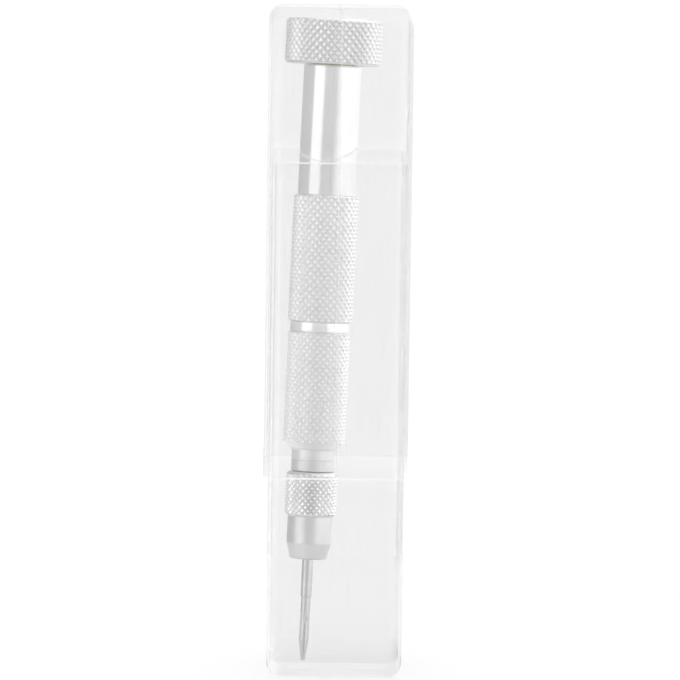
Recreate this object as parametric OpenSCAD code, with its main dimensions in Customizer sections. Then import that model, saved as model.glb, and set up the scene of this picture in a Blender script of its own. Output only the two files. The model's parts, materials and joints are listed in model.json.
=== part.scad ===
// Pocket screwdriver standing tip down in a clear, square, telescoping case.
// Z is up, the origin is the middle of the case's foot, and the front of the case faces -Y.
// Lengths are millimetres. Parts of the tool are drawn along its own axis, measured up from its tip.

/* [Case] */
// Outside width and depth of the cap
cap_w = 28.2; // [24:0.1:40]
// Length of the cap, top to rim
cap_len = 91; // [50:0.5:110]
// Wall of the cap
cap_wall = 0.5; // [0.4:0.05:0.9]
// Thickness of the cap's top
cap_top_t = 0.8; // [0.5:0.1:3]
// Radius of the cap's upright edges
edge_r = 3.6; // [3:0.1:5]
// Radius of the edges round the closed ends
end_r = 3; // [2:0.1:5]
// Running gap between cap and base, on each side
slide_gap = 0.3; // [0.25:0.05:0.6]
// How far the base sits to the right in the cap
base_shift = 0.1; // [0:0.05:0.15]
// Length of the base, foot to rim
base_len = 102; // [70:0.5:115]
// Wall of the base
base_wall = 0.7; // [0.5:0.05:0.9]
// Thickness of the base's floor
floor_t = 3; // [1.5:0.1:6]
// Radius round the inside of the floor and of the cap's top
inner_end_r = 1.2; // [0.5:0.1:1.6]
// Height of the thickened band at the cap's rim
rim_bead_h = 3; // [1:0.1:6]
// How far the rim band stands proud
rim_bead_proud = 0.12; // [0.05:0.01:0.3]
// Chamfer on both rims
rim_chamfer = 0.3; // [0.1:0.05:0.35]
// Diameter of the round gate recess in the cap's top
gate_d = 3; // [1.5:0.1:5]
// Depth of the gate recess
gate_depth = 0.2; // [0.1:0.05:0.3]

/* [Ratchet] */
// Distance from one ratchet groove to the next
ratchet_pitch = 5; // [3:0.5:10]
// Height of a groove
groove_h = 0.8; // [0.4:0.1:1.5]
// Depth of a groove
groove_depth = 0.25; // [0.15:0.05:0.35]
// Height of the lowest groove allowed above the foot
groove_low = 9; // [6:1:20]
// Plain band left above the highest groove
groove_margin = 15; // [8:1:30]
// How far the grooves wrap on to the front and back faces
groove_wrap = 3.6; // [1:0.1:6]
// Height of the cap's detents above its rim
detent_up = 8; // [4:0.5:15]

/* [Lie of the tool in the case] */
// From the left wall of the base to the tip
tip_left_gap = 6.5; // [6:0.1:10]
// From the front wall of the base to the tip
tip_front_gap = 2.2; // [2.2:0.1:10]
// From the left wall of the cap to the head
head_left_gap = 3; // [0.5:0.1:4]
// From the rear wall of the cap to the head
head_rear_gap = 0.5; // [0.4:0.1:6]
// From the floor to the tip
tip_floor_gap = 0.25; // [0.1:0.05:0.4]
// From the head to the underside of the cap's top
ceiling_gap = 0.6; // [0.3:0.1:5]

/* [Swivel head] */
// Diameter of the swivel head
head_d = 19; // [15:0.1:21]
// Length of the swivel head
head_len = 8.8; // [8:0.1:12]
// Chamfer on the head's two edges
head_chamfer = 0.8; // [0.3:0.1:1.2]
// Thickness of the web that turns on the pin
head_web_t = 4; // [2:0.1:4.4]
// Diameter of the disc let into the head's top
disc_d = 13.6; // [9:0.1:14]
// Thickness of the disc
disc_t = 0.6; // [0.4:0.1:1]
// How far the disc lies below the head's rim
disc_sink = 0.4; // [0.2:0.1:0.8]
// Diameter of the swivel pin
pin_d = 3; // [2.4:0.1:3.6]
// Diameter of the pin's head
pin_head_d = 6; // [5:0.1:8]
// Thickness of the pin's head
pin_head_t = 1; // [0.6:0.1:1.5]
// Thickness of the thrust washer
washer_t = 0.6; // [0.4:0.05:1]
// Diameter of the thrust washer
washer_d = 6.6; // [5:0.1:9]
// Thickness of the retaining clip
clip_t = 0.45; // [0.3:0.05:0.8]
// Diameter of the retaining clip
clip_d = 5.2; // [4.6:0.1:6]

/* [Neck cap] */
// Diameter of the polished neck
neck_d = 11.3; // [11:0.1:12.4]
// Length of the polished neck
neck_len = 25.5; // [25:0.1:35]
// Bore of the neck
neck_bore_d = 7; // [6.9:0.1:7.8]
// Length of the neck's threaded spigot
cap_thread_len = 4.2; // [3:0.1:6]
// Thickness of the neck's end wall
neck_end_t = 5.3; // [3:0.1:5.8]
// Section of the rubber ring
o_ring_section = 0.6; // [0.4:0.05:0.8]

/* [Barrels] */
// Diameter of the rear knurled grip
rear_grip_d = 12.7; // [12:0.1:14]
// Length of the rear knurled grip
rear_grip_len = 24.8; // [24.4:0.1:35]
// Bore of the rear barrel
rear_bore_d = 9.8; // [9.4:0.1:10.2]
// Diameter of the polished band
band_d = 11.6; // [11:0.1:12]
// Width of the polished band
band_len = 2; // [1:0.1:4]
// Diameter of the front knurled grip
front_grip_d = 12.2; // [11:0.1:14]
// Length of the front knurled grip with its taper
front_grip_len = 23.2; // [18:0.1:30]
// Length of the taper at the grip's front
front_taper_len = 1.6; // [0.5:0.1:2.5]
// Length of the spigot that joins the two barrels, past the band
barrel_spigot_len = 4; // [2:0.1:4.6]
// Small chamfer on the barrels' edges
barrel_chamfer = 0.25; // [0.1:0.05:0.4]

/* [Chuck] */
// Diameter of the smooth front neck
ferrule_d = 8.5; // [8:0.1:10]
// Length of the smooth ferrule on the front barrel
ferrule_len = 2; // [1:0.1:4]
// Length of the smooth shoulder on the chuck body
shoulder_len = 2.1; // [1:0.1:4]
// Diameter of the stem pressed into the front barrel
stem_d = 6; // [5:0.1:7]
// Length of the stem
stem_len = 7.5; // [4:0.1:10]
// Diameter of the knurled collar
collar_d = 10.2; // [9.4:0.1:12]
// Length of the knurled collar
collar_len = 8.8; // [6.8:0.1:10]
// Chamfer on the collar's edges
collar_chamfer = 0.6; // [0.2:0.1:0.7]
// Diameter of the nose
nose_d = 8.8; // [8.4:0.1:9.2]
// Length of the straight part of the nose
nose_len = 5.2; // [4.6:0.1:8]
// Diameter of the nose's front face
nose_tip_d = 7.2; // [6:0.1:8]
// Length of the nose's taper
nose_taper_len = 3.2; // [2.2:0.1:5]
// Rounding of the nose's front edge
nose_round = 0.5; // [0.2:0.1:0.8]
// Diameter of the hole in the nose
nose_hole_d = 3; // [2.6:0.1:3.6]
// Wall in front of the collet's seat
nose_wall = 1.4; // [0.8:0.1:2]
// Length of the collet's cone seat
seat_len = 4.5; // [3:0.1:5]
// Diameter of the seat's small end
seat_front_d = 4; // [3.8:0.1:4.6]
// Diameter of the chuck's thread
chuck_thread_d = 6.6; // [6.2:0.1:6.8]
// Diameter of the collet's stem
collet_d = 4.6; // [4:0.1:4.8]
// Length of the collet
collet_len = 11.7; // [10:0.1:12]
// Width of the collet's slits
slit_w = 0.35; // [0.2:0.05:0.6]
// Diameter of the bit stop
stop_d = 2.6; // [2.4:0.1:3]
// Length of the bit stop
stop_len = 2; // [1:0.1:3]

/* [Bits] */
// Whole length of a bit
bit_len = 34.4; // [30:0.1:40]
// Diameter of a bit's shank
shank_d = 2.2; // [1.8:0.1:2.2]
// Length of the shank seen below the nose
shank_out_len = 7.6; // [6:0.1:9]
// Length of the fluted blade with its point
blade_len = 12.4; // [11:0.1:14]
// Diameter of the blade where it meets the shank
blade_top_d = 1.84; // [1.4:0.02:1.9]
// Diameter of the blade above its point
blade_low_d = 2.02; // [1.4:0.02:2.1]
// Length of the point
point_len = 3.9; // [2:0.1:5]
// Diameter of the point's end
point_end_d = 0.84; // [0.5:0.02:1.2]
// Length of the flutes
flute_len = 9; // [5:0.1:11]
// Width of the small spare blade
small_blade_w = 1.2; // [0.8:0.1:1.6]
// Width of the large spare blade
large_blade_w = 2; // [1.6:0.1:2.2]
// Thickness of the spare blades' edges
blade_edge_t = 0.35; // [0.2:0.05:0.6]
// Length of the spare blades' flats
blade_flat_len = 4; // [2:0.1:6]

/* [Magazine] */
// Diameter of the magazine's body
magazine_d = 6.7; // [6.5:0.1:6.8]
// Length of the magazine
magazine_len = 22; // [16:0.5:26]
// Thickness of the magazine's flange
flange_t = 2; // [1.5:0.1:3]
// Thickness of the floor under the pockets
pocket_floor_t = 1.2; // [0.8:0.1:1.6]
// Radius of the circle that the spare bits stand on
pocket_ring_r = 1.9; // [1.6:0.05:2]
// Length of the felt plug
pad_len = 3; // [1:0.1:6]
// From the felt plug to the swivel pin
pad_gap = 1.15; // [0.5:0.05:2]

/* [Hidden] */

// Round shapes are drawn fine enough for a plain preview
$fn = 72;
// Clearance of a part that turns or slides in another
run_gap = 0.06;
// Clearance of a part that is pressed, glued or screwed home
fit_gap = 0.02;
// Gap between end faces that move against each other
face_gap = 0.05;
// Gap seen between the neck and the head, and between the shoulder and the collar
seam_gap = 0.2;
// Free space left at the end of a blind bore
end_gap = 0.3;
// Overrun of a cut past the face that it opens
cut_over = 1;
// Groove of the swivel pin as a share of its radius, and the clip's mouth as a share of the groove
pin_groove_share = 0.75;
clip_mouth_share = 1.5;
// Core between the flutes as a share of the point's end, and the flutes' spread as a share of the shank
core_share = 0.2;
flute_spread_share = 0.8;
// Spare cross point as a share of the driver bit's
spare_point_share = 0.8;

// Case, worked out
cap_in_w = cap_w - 2 * cap_wall;
cap_in_r = edge_r - cap_wall;
base_w = cap_in_w - 2 * slide_gap;
base_r = cap_in_r - slide_gap;
base_in_w = base_w - 2 * base_wall;
base_in_r = base_r - base_wall;

// Stations along the tool, up from its tip
nose_end = blade_len + shank_out_len;
nose_top = nose_end + nose_taper_len;
collar_low = nose_top + nose_len;
collar_top = collar_low + collar_len;
shoulder_low = collar_top + seam_gap;
joint_line = shoulder_low + shoulder_len;
front_grip_low = joint_line + ferrule_len;
band_low = front_grip_low + front_grip_len;
rear_grip_low = band_low + band_len;
neck_low = rear_grip_low + rear_grip_len;
neck_top = neck_low + neck_len;
head_low = neck_top + seam_gap;
head_top = head_low + head_len;

// Lie of the tool: the tip stands near the front left, and the head leans back to the rear wall.
// In a narrow case the knurled collar meets the front wall first and keeps the tip off it.
head_x = head_left_gap + (head_d - cap_in_w) / 2;
head_y = (cap_in_w - head_d) / 2 - head_rear_gap;
collar_height_share = (collar_low + collar_chamfer) / head_top;
collar_rest_y = (collar_d / 2 + end_gap - base_in_w / 2 - head_y * collar_height_share)
    / (1 - collar_height_share);
tip_x = base_shift + tip_left_gap - base_in_w / 2;
tip_y = max(tip_front_gap - base_in_w / 2, collar_rest_y);
lean_back = asin((head_y - tip_y) / head_top);
lean_right = asin((head_x - tip_x) / (head_top * cos(lean_back)));
upright_share = cos(lean_back) * cos(lean_right);
tip_z = floor_t + tip_floor_gap;
tool_reach = tip_z + head_top * upright_share + head_d / 2 * sqrt(1 - pow(upright_share, 2));
case_h = tool_reach + ceiling_gap + cap_top_t;
rim_z = case_h - cap_len;
detent_z = rim_z + detent_up;
detent_proud = slide_gap - base_shift - face_gap;
first_groove = ceil((groove_low - detent_z) / ratchet_pitch);
last_groove = floor((base_len - groove_margin - detent_z) / ratchet_pitch);

// Chuck, worked out
seat_low = nose_end + nose_wall;
seat_top = seat_low + seat_len;
nut_bore_r = chuck_thread_d / 2 + run_gap;
seat_back_r = nut_bore_r - seam_gap;
collet_low = seat_low + end_gap;
collet_cone_top = seat_top - end_gap;
collet_top = collet_low + collet_len;
collet_bore_r = shank_d / 2 + run_gap;
thread_low = seat_top + end_gap;
slit_top = collet_top - collet_bore_r * 2;
stop_low = max(bit_len, collet_top) + end_gap;
stop_top = stop_low + stop_len;
stem_top = joint_line + stem_len;

// Magazine, neck and head, worked out
// The spare bits hang down from the felt plug, and their carrier reaches into the front barrel
// where they are too long to end at its flange.
neck_hollow_top = neck_top - neck_end_t;
clip_top = neck_hollow_top - face_gap;
clip_low = clip_top - clip_t;
pin_groove_r = pin_d / 2 * pin_groove_share;
pin_low = clip_low - clip_t;
pad_low = pin_low - pad_gap - pad_len;
pocket_low = pad_low - end_gap - bit_len;
pocket_r = shank_d / 2 + run_gap;
spigot_r = rear_bore_d / 2 - fit_gap;
flange_low = rear_grip_low + barrel_spigot_len;
magazine_low = min(flange_low, pocket_low - pocket_floor_t);
magazine_top = flange_low + magazine_len;
cap_thread_r = rear_bore_d / 2 - run_gap;
o_ring_r = rear_bore_d / 2 - face_gap - o_ring_section / 2;
o_ring_z = neck_low - o_ring_section * 2;
washer_low = neck_top + face_gap;
washer_top = washer_low + washer_t;
web_low = washer_top + face_gap;
pin_head_low = web_low + head_web_t + face_gap;
disc_low = head_top - disc_sink - disc_t;

// Stands a piece of the tool, drawn up from its tip, in its place in the case
module on_tool() {
    translate([tip_x, tip_y, tip_z]) rotate([-lean_back, lean_right, 0]) children();
}

// A turned piece: points are radius and height
module turned(points) {
    rotate_extrude() polygon(points);
}

// Square with round corners, in the middle
module rounded_square(w, r) {
    square([w - 2 * r, w], center = true);
    square([w, w - 2 * r], center = true);
    for (x = [-1, 1], y = [-1, 1]) translate([x, y] * (w / 2 - r)) circle(r);
}

// Side view of a box that is round at its lower corners only
module foot_outline(w, h, r) {
    translate([-w / 2, r]) square([w, h - r]);
    translate([r - w / 2, 0]) square([w - 2 * r, h]);
    for (x = [-1, 1]) translate([x * (w / 2 - r), r]) circle(r);
}

// Box standing on a closed end with round edges
module closed_box(w, h, upright_r, foot_r) {
    deep = w + 2 * cut_over;
    intersection() {
        linear_extrude(h) rounded_square(w, upright_r);
        rotate([90, 0, 0]) linear_extrude(deep, center = true) foot_outline(w, h, foot_r);
        rotate([90, 0, 90]) linear_extrude(deep, center = true) foot_outline(w, h, foot_r);
    }
}

// Flat frame between two rounded squares, kept to the left and right sides and round their corners
module side_band(outer_w, outer_r, inner_w, inner_r, wrap) {
    difference() {
        rounded_square(outer_w, outer_r);
        rounded_square(inner_w, inner_r);
        square([base_w - 2 * wrap, outer_w + 2 * cut_over], center = true);
    }
}

// Ring of a rounded square that chamfers the rim at the top of a box
module rim_cut(w, h) {
    translate([0, 0, h]) for (side = [0 : 3]) rotate(90 * side) translate([w / 2, 0])
        rotate([0, 45, 0]) cube([rim_chamfer, 2 * w, rim_chamfer] * sqrt(2), center = true);
}

module case_base() {
    color([0.93, 0.94, 0.95, 0.35]) translate([base_shift, 0, 0]) difference() {
        closed_box(base_w, base_len, base_r, end_r);
        translate([0, 0, floor_t])
            closed_box(base_in_w, base_len, base_in_r, inner_end_r);
        for (row = [first_groove : last_groove])
            translate([0, 0, detent_z + row * ratchet_pitch - groove_h / 2])
                linear_extrude(groove_h) side_band(
                    base_w + 2 * cut_over, base_r + cut_over,
                    base_w - 2 * groove_depth, base_r - groove_depth, groove_wrap);
        rim_cut(base_w, base_len);
    }
}

// The cap is drawn standing on its closed end, then turned over
module case_cap() {
    detent_h = groove_h - 2 * run_gap;
    color([0.95, 0.96, 0.97, 0.35]) translate([0, 0, case_h]) rotate([180, 0, 0]) {
        difference() {
            union() {
                closed_box(cap_w, cap_len, edge_r, end_r);
                translate([0, 0, cap_len - rim_bead_h]) linear_extrude(rim_bead_h)
                    rounded_square(cap_w + 2 * rim_bead_proud, edge_r + rim_bead_proud);
            }
            translate([0, 0, cap_top_t]) closed_box(cap_in_w, cap_len, cap_in_r, inner_end_r);
            rim_cut(cap_w + 2 * rim_bead_proud, cap_len);
            translate([0, 0, -cut_over]) cylinder(h = cut_over + gate_depth, r = gate_d / 2);
        }
        translate([0, 0, cap_len - detent_up - detent_h / 2]) linear_extrude(detent_h) side_band(
            cap_in_w + cap_wall, cap_in_r + cap_wall / 2,
            cap_in_w - 2 * detent_proud, cap_in_r - detent_proud, groove_wrap);
    }
}

module swivel_head() {
    r = head_d / 2;
    washer_r = washer_d / 2 + run_gap * 2;
    pin_r = pin_d / 2 + run_gap;
    pocket = pin_head_d / 2 + seam_gap;
    color([0.86, 0.86, 0.88]) on_tool() turned([
        [pin_r, web_low], [washer_r, web_low], [washer_r, head_low],
        [r - head_chamfer, head_low], [r, head_low + head_chamfer],
        [r, head_top - head_chamfer], [r - head_chamfer, head_top],
        [disc_d / 2, head_top], [disc_d / 2, disc_low],
        [pocket, disc_low], [pocket, web_low + head_web_t], [pin_r, web_low + head_web_t]]);
}

module head_disc() {
    color([0.9, 0.9, 0.92]) on_tool() translate([0, 0, disc_low])
        cylinder(h = disc_t, r = disc_d / 2 - fit_gap);
}

module swivel_pin() {
    r = pin_d / 2 - fit_gap;
    color([0.7, 0.7, 0.72]) on_tool() turned([
        [0, pin_low], [r, pin_low], [r, clip_low - fit_gap], [pin_groove_r, clip_low - fit_gap],
        [pin_groove_r, clip_top + fit_gap], [r, clip_top + fit_gap], [r, pin_head_low],
        [pin_head_d / 2, pin_head_low], [pin_head_d / 2, pin_head_low + pin_head_t],
        [0, pin_head_low + pin_head_t]]);
}

module retaining_clip() {
    mouth_w = pin_groove_r * clip_mouth_share;
    color([0.45, 0.45, 0.47]) on_tool() translate([0, 0, clip_low]) difference() {
        cylinder(h = clip_t, r = clip_d / 2);
        translate([0, 0, -cut_over]) cylinder(h = clip_t + 2 * cut_over, r = pin_groove_r + fit_gap);
        translate([0, -mouth_w / 2, -cut_over]) cube([clip_d, mouth_w, clip_t + 2 * cut_over]);
    }
}

module thrust_washer() {
    color([0.85, 0.72, 0.4]) on_tool() translate([0, 0, washer_low]) difference() {
        cylinder(h = washer_t, r = washer_d / 2);
        translate([0, 0, -cut_over])
            cylinder(h = washer_t + 2 * cut_over, r = pin_d / 2 + run_gap);
    }
}

module neck_cap() {
    r = neck_d / 2;
    low = neck_low + face_gap;
    thread_end = neck_low - cap_thread_len;
    groove_r = o_ring_r - o_ring_section / 2 - fit_gap;
    groove_half = o_ring_section / 2 + face_gap;
    color([0.88, 0.88, 0.9]) on_tool() turned([
        [neck_bore_d / 2, thread_end], [cap_thread_r - barrel_chamfer, thread_end],
        [cap_thread_r, thread_end + barrel_chamfer], [cap_thread_r, o_ring_z - groove_half],
        [groove_r, o_ring_z - groove_half], [groove_r, o_ring_z + groove_half],
        [cap_thread_r, o_ring_z + groove_half], [cap_thread_r, low],
        [r - barrel_chamfer, low], [r, low + barrel_chamfer],
        [r, neck_top - barrel_chamfer], [r - barrel_chamfer, neck_top],
        [pin_d / 2, neck_top], [pin_d / 2, neck_hollow_top], [neck_bore_d / 2, neck_hollow_top]]);
}

module cap_o_ring() {
    color([0.15, 0.15, 0.15]) on_tool() translate([0, 0, o_ring_z]) rotate_extrude()
        translate([o_ring_r, 0]) circle(o_ring_section / 2, $fn = 24);
}

module rattle_pad() {
    color([0.6, 0.6, 0.58]) on_tool() translate([0, 0, pad_low])
        cylinder(h = pad_len, r = neck_bore_d / 2 - fit_gap);
}

module rear_barrel() {
    r = rear_grip_d / 2;
    bore = rear_bore_d / 2;
    color([0.84, 0.84, 0.86]) on_tool() turned([
        [bore, rear_grip_low], [r - barrel_chamfer, rear_grip_low],
        [r, rear_grip_low + barrel_chamfer], [r, neck_low - barrel_chamfer],
        [r - barrel_chamfer, neck_low], [bore, neck_low]]);
}

// Puts a child at each of the three places in the magazine, or at one of them
module magazine_places(places = [0, 1, 2]) {
    for (place = places) rotate(120 * place) translate([pocket_ring_r, 0, 0]) children();
}

module bit_magazine() {
    color([0.2, 0.2, 0.22]) on_tool() difference() {
        union() {
            translate([0, 0, flange_low]) cylinder(h = flange_t, r = spigot_r);
            translate([0, 0, magazine_low])
                cylinder(h = magazine_top - magazine_low, r = magazine_d / 2);
        }
        magazine_places() translate([0, 0, pocket_low])
            cylinder(h = magazine_top - pocket_low + cut_over, r = pocket_r);
    }
}

// A bit with a flat blade at its lower end, standing on z = 0
module slot_bit(blade_w) {
    r = shank_d / 2;
    slope = atan((r - blade_edge_t / 2) / blade_flat_len);
    neck_r = min(blade_w / 2, r);
    difference() {
        turned([
            [0, 0], [neck_r, 0], [neck_r, blade_flat_len], [r, blade_flat_len + r],
            [r, bit_len - blade_edge_t], [r - blade_edge_t, bit_len], [0, bit_len]]);
        for (side = [0, 180]) rotate(side) translate([-shank_d, blade_edge_t / 2, 0])
            rotate([-slope, 0, 0]) translate([0, 0, -cut_over])
                cube([2 * shank_d, shank_d, blade_flat_len + r + cut_over]);
    }
}

// A bit with a fluted cross point at its lower end, standing on z = 0
module cross_bit(top_d, low_d, end_d) {
    r = shank_d / 2;
    core_r = end_d * core_share;
    spread = shank_d * flute_spread_share;
    slope = atan((low_d / 2 - core_r) / flute_len);
    reach = flute_len + low_d;
    difference() {
        turned([
            [0, 0], [end_d / 2, 0], [low_d / 2, point_len], [top_d / 2, blade_len],
            [r, blade_len + (shank_d - top_d) / 2], [r, bit_len - blade_edge_t],
            [r - blade_edge_t, bit_len], [0, bit_len]]);
        for (flute = [0 : 3]) rotate(45 + 90 * flute) translate([core_r, 0, 0])
            rotate([0, slope, 0]) translate([0, 0, -cut_over]) linear_extrude(reach + cut_over)
                polygon([[0, 0], [shank_d, -spread], [shank_d, spread]]);
    }
}

module spare_slot_bit_small() {
    color([0.6, 0.6, 0.62]) on_tool() magazine_places([0]) translate([0, 0, pocket_low])
        slot_bit(small_blade_w);
}

module spare_slot_bit_large() {
    color([0.6, 0.6, 0.62]) on_tool() magazine_places([1]) translate([0, 0, pocket_low])
        slot_bit(large_blade_w);
}

module spare_cross_bit() {
    color([0.6, 0.6, 0.62]) on_tool() magazine_places([2]) translate([0, 0, pocket_low])
        cross_bit(blade_top_d * spare_point_share, blade_low_d * spare_point_share,
                  point_end_d * spare_point_share);
}

module band_ring() {
    r = band_d / 2;
    bore = spigot_r + fit_gap;
    color([0.9, 0.9, 0.92]) on_tool() turned([
        [bore, band_low], [r - barrel_chamfer, band_low], [r, band_low + barrel_chamfer],
        [r, rear_grip_low - barrel_chamfer], [r - barrel_chamfer, rear_grip_low],
        [bore, rear_grip_low]]);
}

module front_barrel() {
    r = front_grip_d / 2;
    stem_bore_r = stem_d / 2 + fit_gap;
    recess_r = magazine_d / 2 + fit_gap;
    recess_floor = magazine_low - end_gap;
    color([0.84, 0.84, 0.86]) on_tool() turned([
        [stem_bore_r, joint_line], [ferrule_d / 2, joint_line], [ferrule_d / 2, front_grip_low],
        [r, front_grip_low + front_taper_len], [r, band_low - barrel_chamfer],
        [r - barrel_chamfer, band_low], [spigot_r, band_low],
        [spigot_r, flange_low - barrel_chamfer], [spigot_r - barrel_chamfer, flange_low],
        [recess_r, flange_low], [recess_r, recess_floor], [0, recess_floor],
        [0, stem_top + end_gap], [stem_bore_r, stem_top + end_gap]]);
}

module chuck_body() {
    thread_r = chuck_thread_d / 2;
    bore = collet_d / 2 + run_gap;
    stop_bore = stop_d / 2 + fit_gap;
    bore_end = collet_top + end_gap;
    color([0.83, 0.83, 0.85]) on_tool() turned([
        [bore, thread_low], [thread_r - barrel_chamfer, thread_low],
        [thread_r, thread_low + barrel_chamfer], [thread_r, shoulder_low],
        [ferrule_d / 2, shoulder_low], [ferrule_d / 2, joint_line], [stem_d / 2, joint_line],
        [stem_d / 2, stem_top - barrel_chamfer], [stem_d / 2 - barrel_chamfer, stem_top],
        [0, stem_top], [0, stop_top], [stop_bore, stop_top], [stop_bore, bore_end],
        [bore, bore_end]]);
}

module bit_stop() {
    color([0.5, 0.5, 0.53]) on_tool() translate([0, 0, stop_low])
        cylinder(h = stop_len, r = stop_d / 2);
}

module collet() {
    growth = (seat_back_r - seat_front_d / 2) / seat_len;
    front_r = seat_front_d / 2 + growth * end_gap - run_gap;
    back_r = front_r + growth * (collet_cone_top - collet_low);
    stem_r = collet_d / 2;
    color([0.62, 0.6, 0.56]) on_tool() difference() {
        turned([
            [collet_bore_r, collet_low], [front_r, collet_low], [back_r, collet_cone_top],
            [stem_r, collet_cone_top], [stem_r, collet_top], [collet_bore_r, collet_top]]);
        for (jaw = [0 : 2]) rotate(120 * jaw)
            translate([0, -slit_w / 2, collet_low - cut_over])
                cube([collet_d, slit_w, slit_top - collet_low + cut_over]);
    }
}

module chuck_nut() {
    tip_r = nose_tip_d / 2;
    r = collar_d / 2;
    taper = (nose_d - nose_tip_d) / 2 / nose_taper_len;
    color([0.85, 0.85, 0.87]) on_tool() turned([
        [nose_hole_d / 2, nose_end], [tip_r - nose_round, nose_end],
        [tip_r + taper * nose_round, nose_end + nose_round], [nose_d / 2, nose_top],
        [nose_d / 2, collar_low], [r - collar_chamfer, collar_low],
        [r, collar_low + collar_chamfer], [r, collar_top - collar_chamfer],
        [r - collar_chamfer, collar_top], [nut_bore_r, collar_top], [nut_bore_r, seat_top],
        [seat_back_r, seat_top], [seat_front_d / 2, seat_low], [nose_hole_d / 2, seat_low]]);
}

module driver_bit() {
    color([0.55, 0.55, 0.57]) on_tool() cross_bit(blade_top_d, blade_low_d, point_end_d);
}

case_cap();
case_base();
swivel_head();
head_disc();
swivel_pin();
retaining_clip();
thrust_washer();
neck_cap();
cap_o_ring();
rattle_pad();
rear_barrel();
bit_magazine();
spare_slot_bit_small();
spare_slot_bit_large();
spare_cross_bit();
band_ring();
front_barrel();
chuck_body();
bit_stop();
collet();
chuck_nut();
driver_bit();
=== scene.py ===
"""Looks of a pocket screwdriver that stands tip down in a clear telescoping case.

The construction frame gives every place and outer size. This script dresses it: turned and
diamond-knurled nickel for the tool, hazy moulded plastic for the case, and a white studio.
Sizes are millimetres in the classes and become metres where a mesh is made.
"""

import json
import logging
import math
from dataclasses import dataclass
from enum import Enum
from typing import Optional, Sequence, Union

import bmesh
import bpy
from mathutils import Matrix, Vector

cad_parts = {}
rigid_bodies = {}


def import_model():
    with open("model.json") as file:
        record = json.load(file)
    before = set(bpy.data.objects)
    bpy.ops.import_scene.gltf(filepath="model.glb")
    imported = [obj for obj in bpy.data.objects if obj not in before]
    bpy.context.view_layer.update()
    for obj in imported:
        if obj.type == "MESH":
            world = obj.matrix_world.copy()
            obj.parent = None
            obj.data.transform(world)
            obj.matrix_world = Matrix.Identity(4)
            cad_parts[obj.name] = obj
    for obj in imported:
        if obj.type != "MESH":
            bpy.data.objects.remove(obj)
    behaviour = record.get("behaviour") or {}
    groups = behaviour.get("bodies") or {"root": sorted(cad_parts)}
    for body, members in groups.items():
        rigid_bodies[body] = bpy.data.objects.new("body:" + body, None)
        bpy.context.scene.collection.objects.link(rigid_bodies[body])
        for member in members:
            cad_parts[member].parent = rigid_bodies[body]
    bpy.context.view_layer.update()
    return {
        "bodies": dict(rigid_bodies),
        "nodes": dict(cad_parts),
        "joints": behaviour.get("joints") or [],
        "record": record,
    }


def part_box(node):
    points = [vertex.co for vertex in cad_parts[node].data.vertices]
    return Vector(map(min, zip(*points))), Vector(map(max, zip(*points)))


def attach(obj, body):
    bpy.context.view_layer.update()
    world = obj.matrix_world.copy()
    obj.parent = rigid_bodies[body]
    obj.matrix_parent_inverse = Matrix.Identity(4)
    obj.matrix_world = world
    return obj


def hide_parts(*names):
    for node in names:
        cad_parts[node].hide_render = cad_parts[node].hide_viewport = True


LOG = logging.getLogger("pocket_screwdriver")
MM = 0.001
UP = (0.0, 0.0, 1.0)
RIGHT = (1.0, 0.0, 0.0)
PHOTO_SIDE_PX = 680


class Slot(Enum):
    """Material slots of the record that the modelled pieces belong to."""

    CLEAR_PLASTIC = "clear_plastic"
    KNURLED_NICKEL = "knurled_nickel"
    POLISHED_NICKEL = "polished_nickel"
    SATIN_NICKEL = "satin_nickel"
    TOOL_STEEL = "tool_steel"


class Reach(Enum):
    """How far round the case a moulded band goes."""

    ALL_ROUND = "all_round"
    SIDES = "sides"


Number = Union[int, float]


class Wire:
    """One shader socket that can be used in arithmetic, each operator adding a Math node."""

    def __init__(self, sheet: "Sheet", socket: bpy.types.NodeSocket) -> None:
        """Wraps a socket.

        Args:
            sheet: The node sheet that the socket is on.
            socket: An output socket that carries a number.
        """
        self.sheet = sheet
        self.socket = socket

    def _math(self, operation: str, first: "Term", second: "Term" = 0.0) -> "Wire":
        """Adds a Math node.

        Args:
            operation: The node's operation.
            first: First value or wire.
            second: Second value or wire.

        Returns:
            The node's result.
        """
        return self.sheet.add(
            "ShaderNodeMath", {"operation": operation}, {0: first, 1: second}
        )

    def __add__(self, other: "Term") -> "Wire":
        """Sum."""
        return self._math("ADD", self, other)

    def __radd__(self, other: "Term") -> "Wire":
        """Sum with a number on the left."""
        return self._math("ADD", other, self)

    def __sub__(self, other: "Term") -> "Wire":
        """Difference."""
        return self._math("SUBTRACT", self, other)

    def __rsub__(self, other: "Term") -> "Wire":
        """Difference with a number on the left."""
        return self._math("SUBTRACT", other, self)

    def __mul__(self, other: "Term") -> "Wire":
        """Product."""
        return self._math("MULTIPLY", self, other)

    def __rmul__(self, other: "Term") -> "Wire":
        """Product with a number on the left."""
        return self._math("MULTIPLY", other, self)

    def __truediv__(self, other: "Term") -> "Wire":
        """Quotient."""
        return self._math("DIVIDE", self, other)

    def __pow__(self, other: "Term") -> "Wire":
        """Power."""
        return self._math("POWER", self, other)

    def wave(self) -> "Wire":
        """Sine of the value."""
        return self._math("SINE", self)

    def over(self, edge: "Term") -> "Wire":
        """1 where the value is above the edge and 0 elsewhere."""
        return self._math("GREATER_THAN", self, edge)

    def ease(self, low: Number, high: Number) -> "Wire":
        """Smooth step from 0 to 1.

        Args:
            low: Value that gives 0.
            high: Value that gives 1.

        Returns:
            The eased value.
        """
        return self.sheet.add(
            "ShaderNodeMapRange",
            {"interpolation_type": "SMOOTHSTEP"},
            {"Value": self, "From Min": low, "From Max": high},
        )


Term = Union[Number, Wire]
Triple = Union[Sequence[float], Wire]


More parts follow.
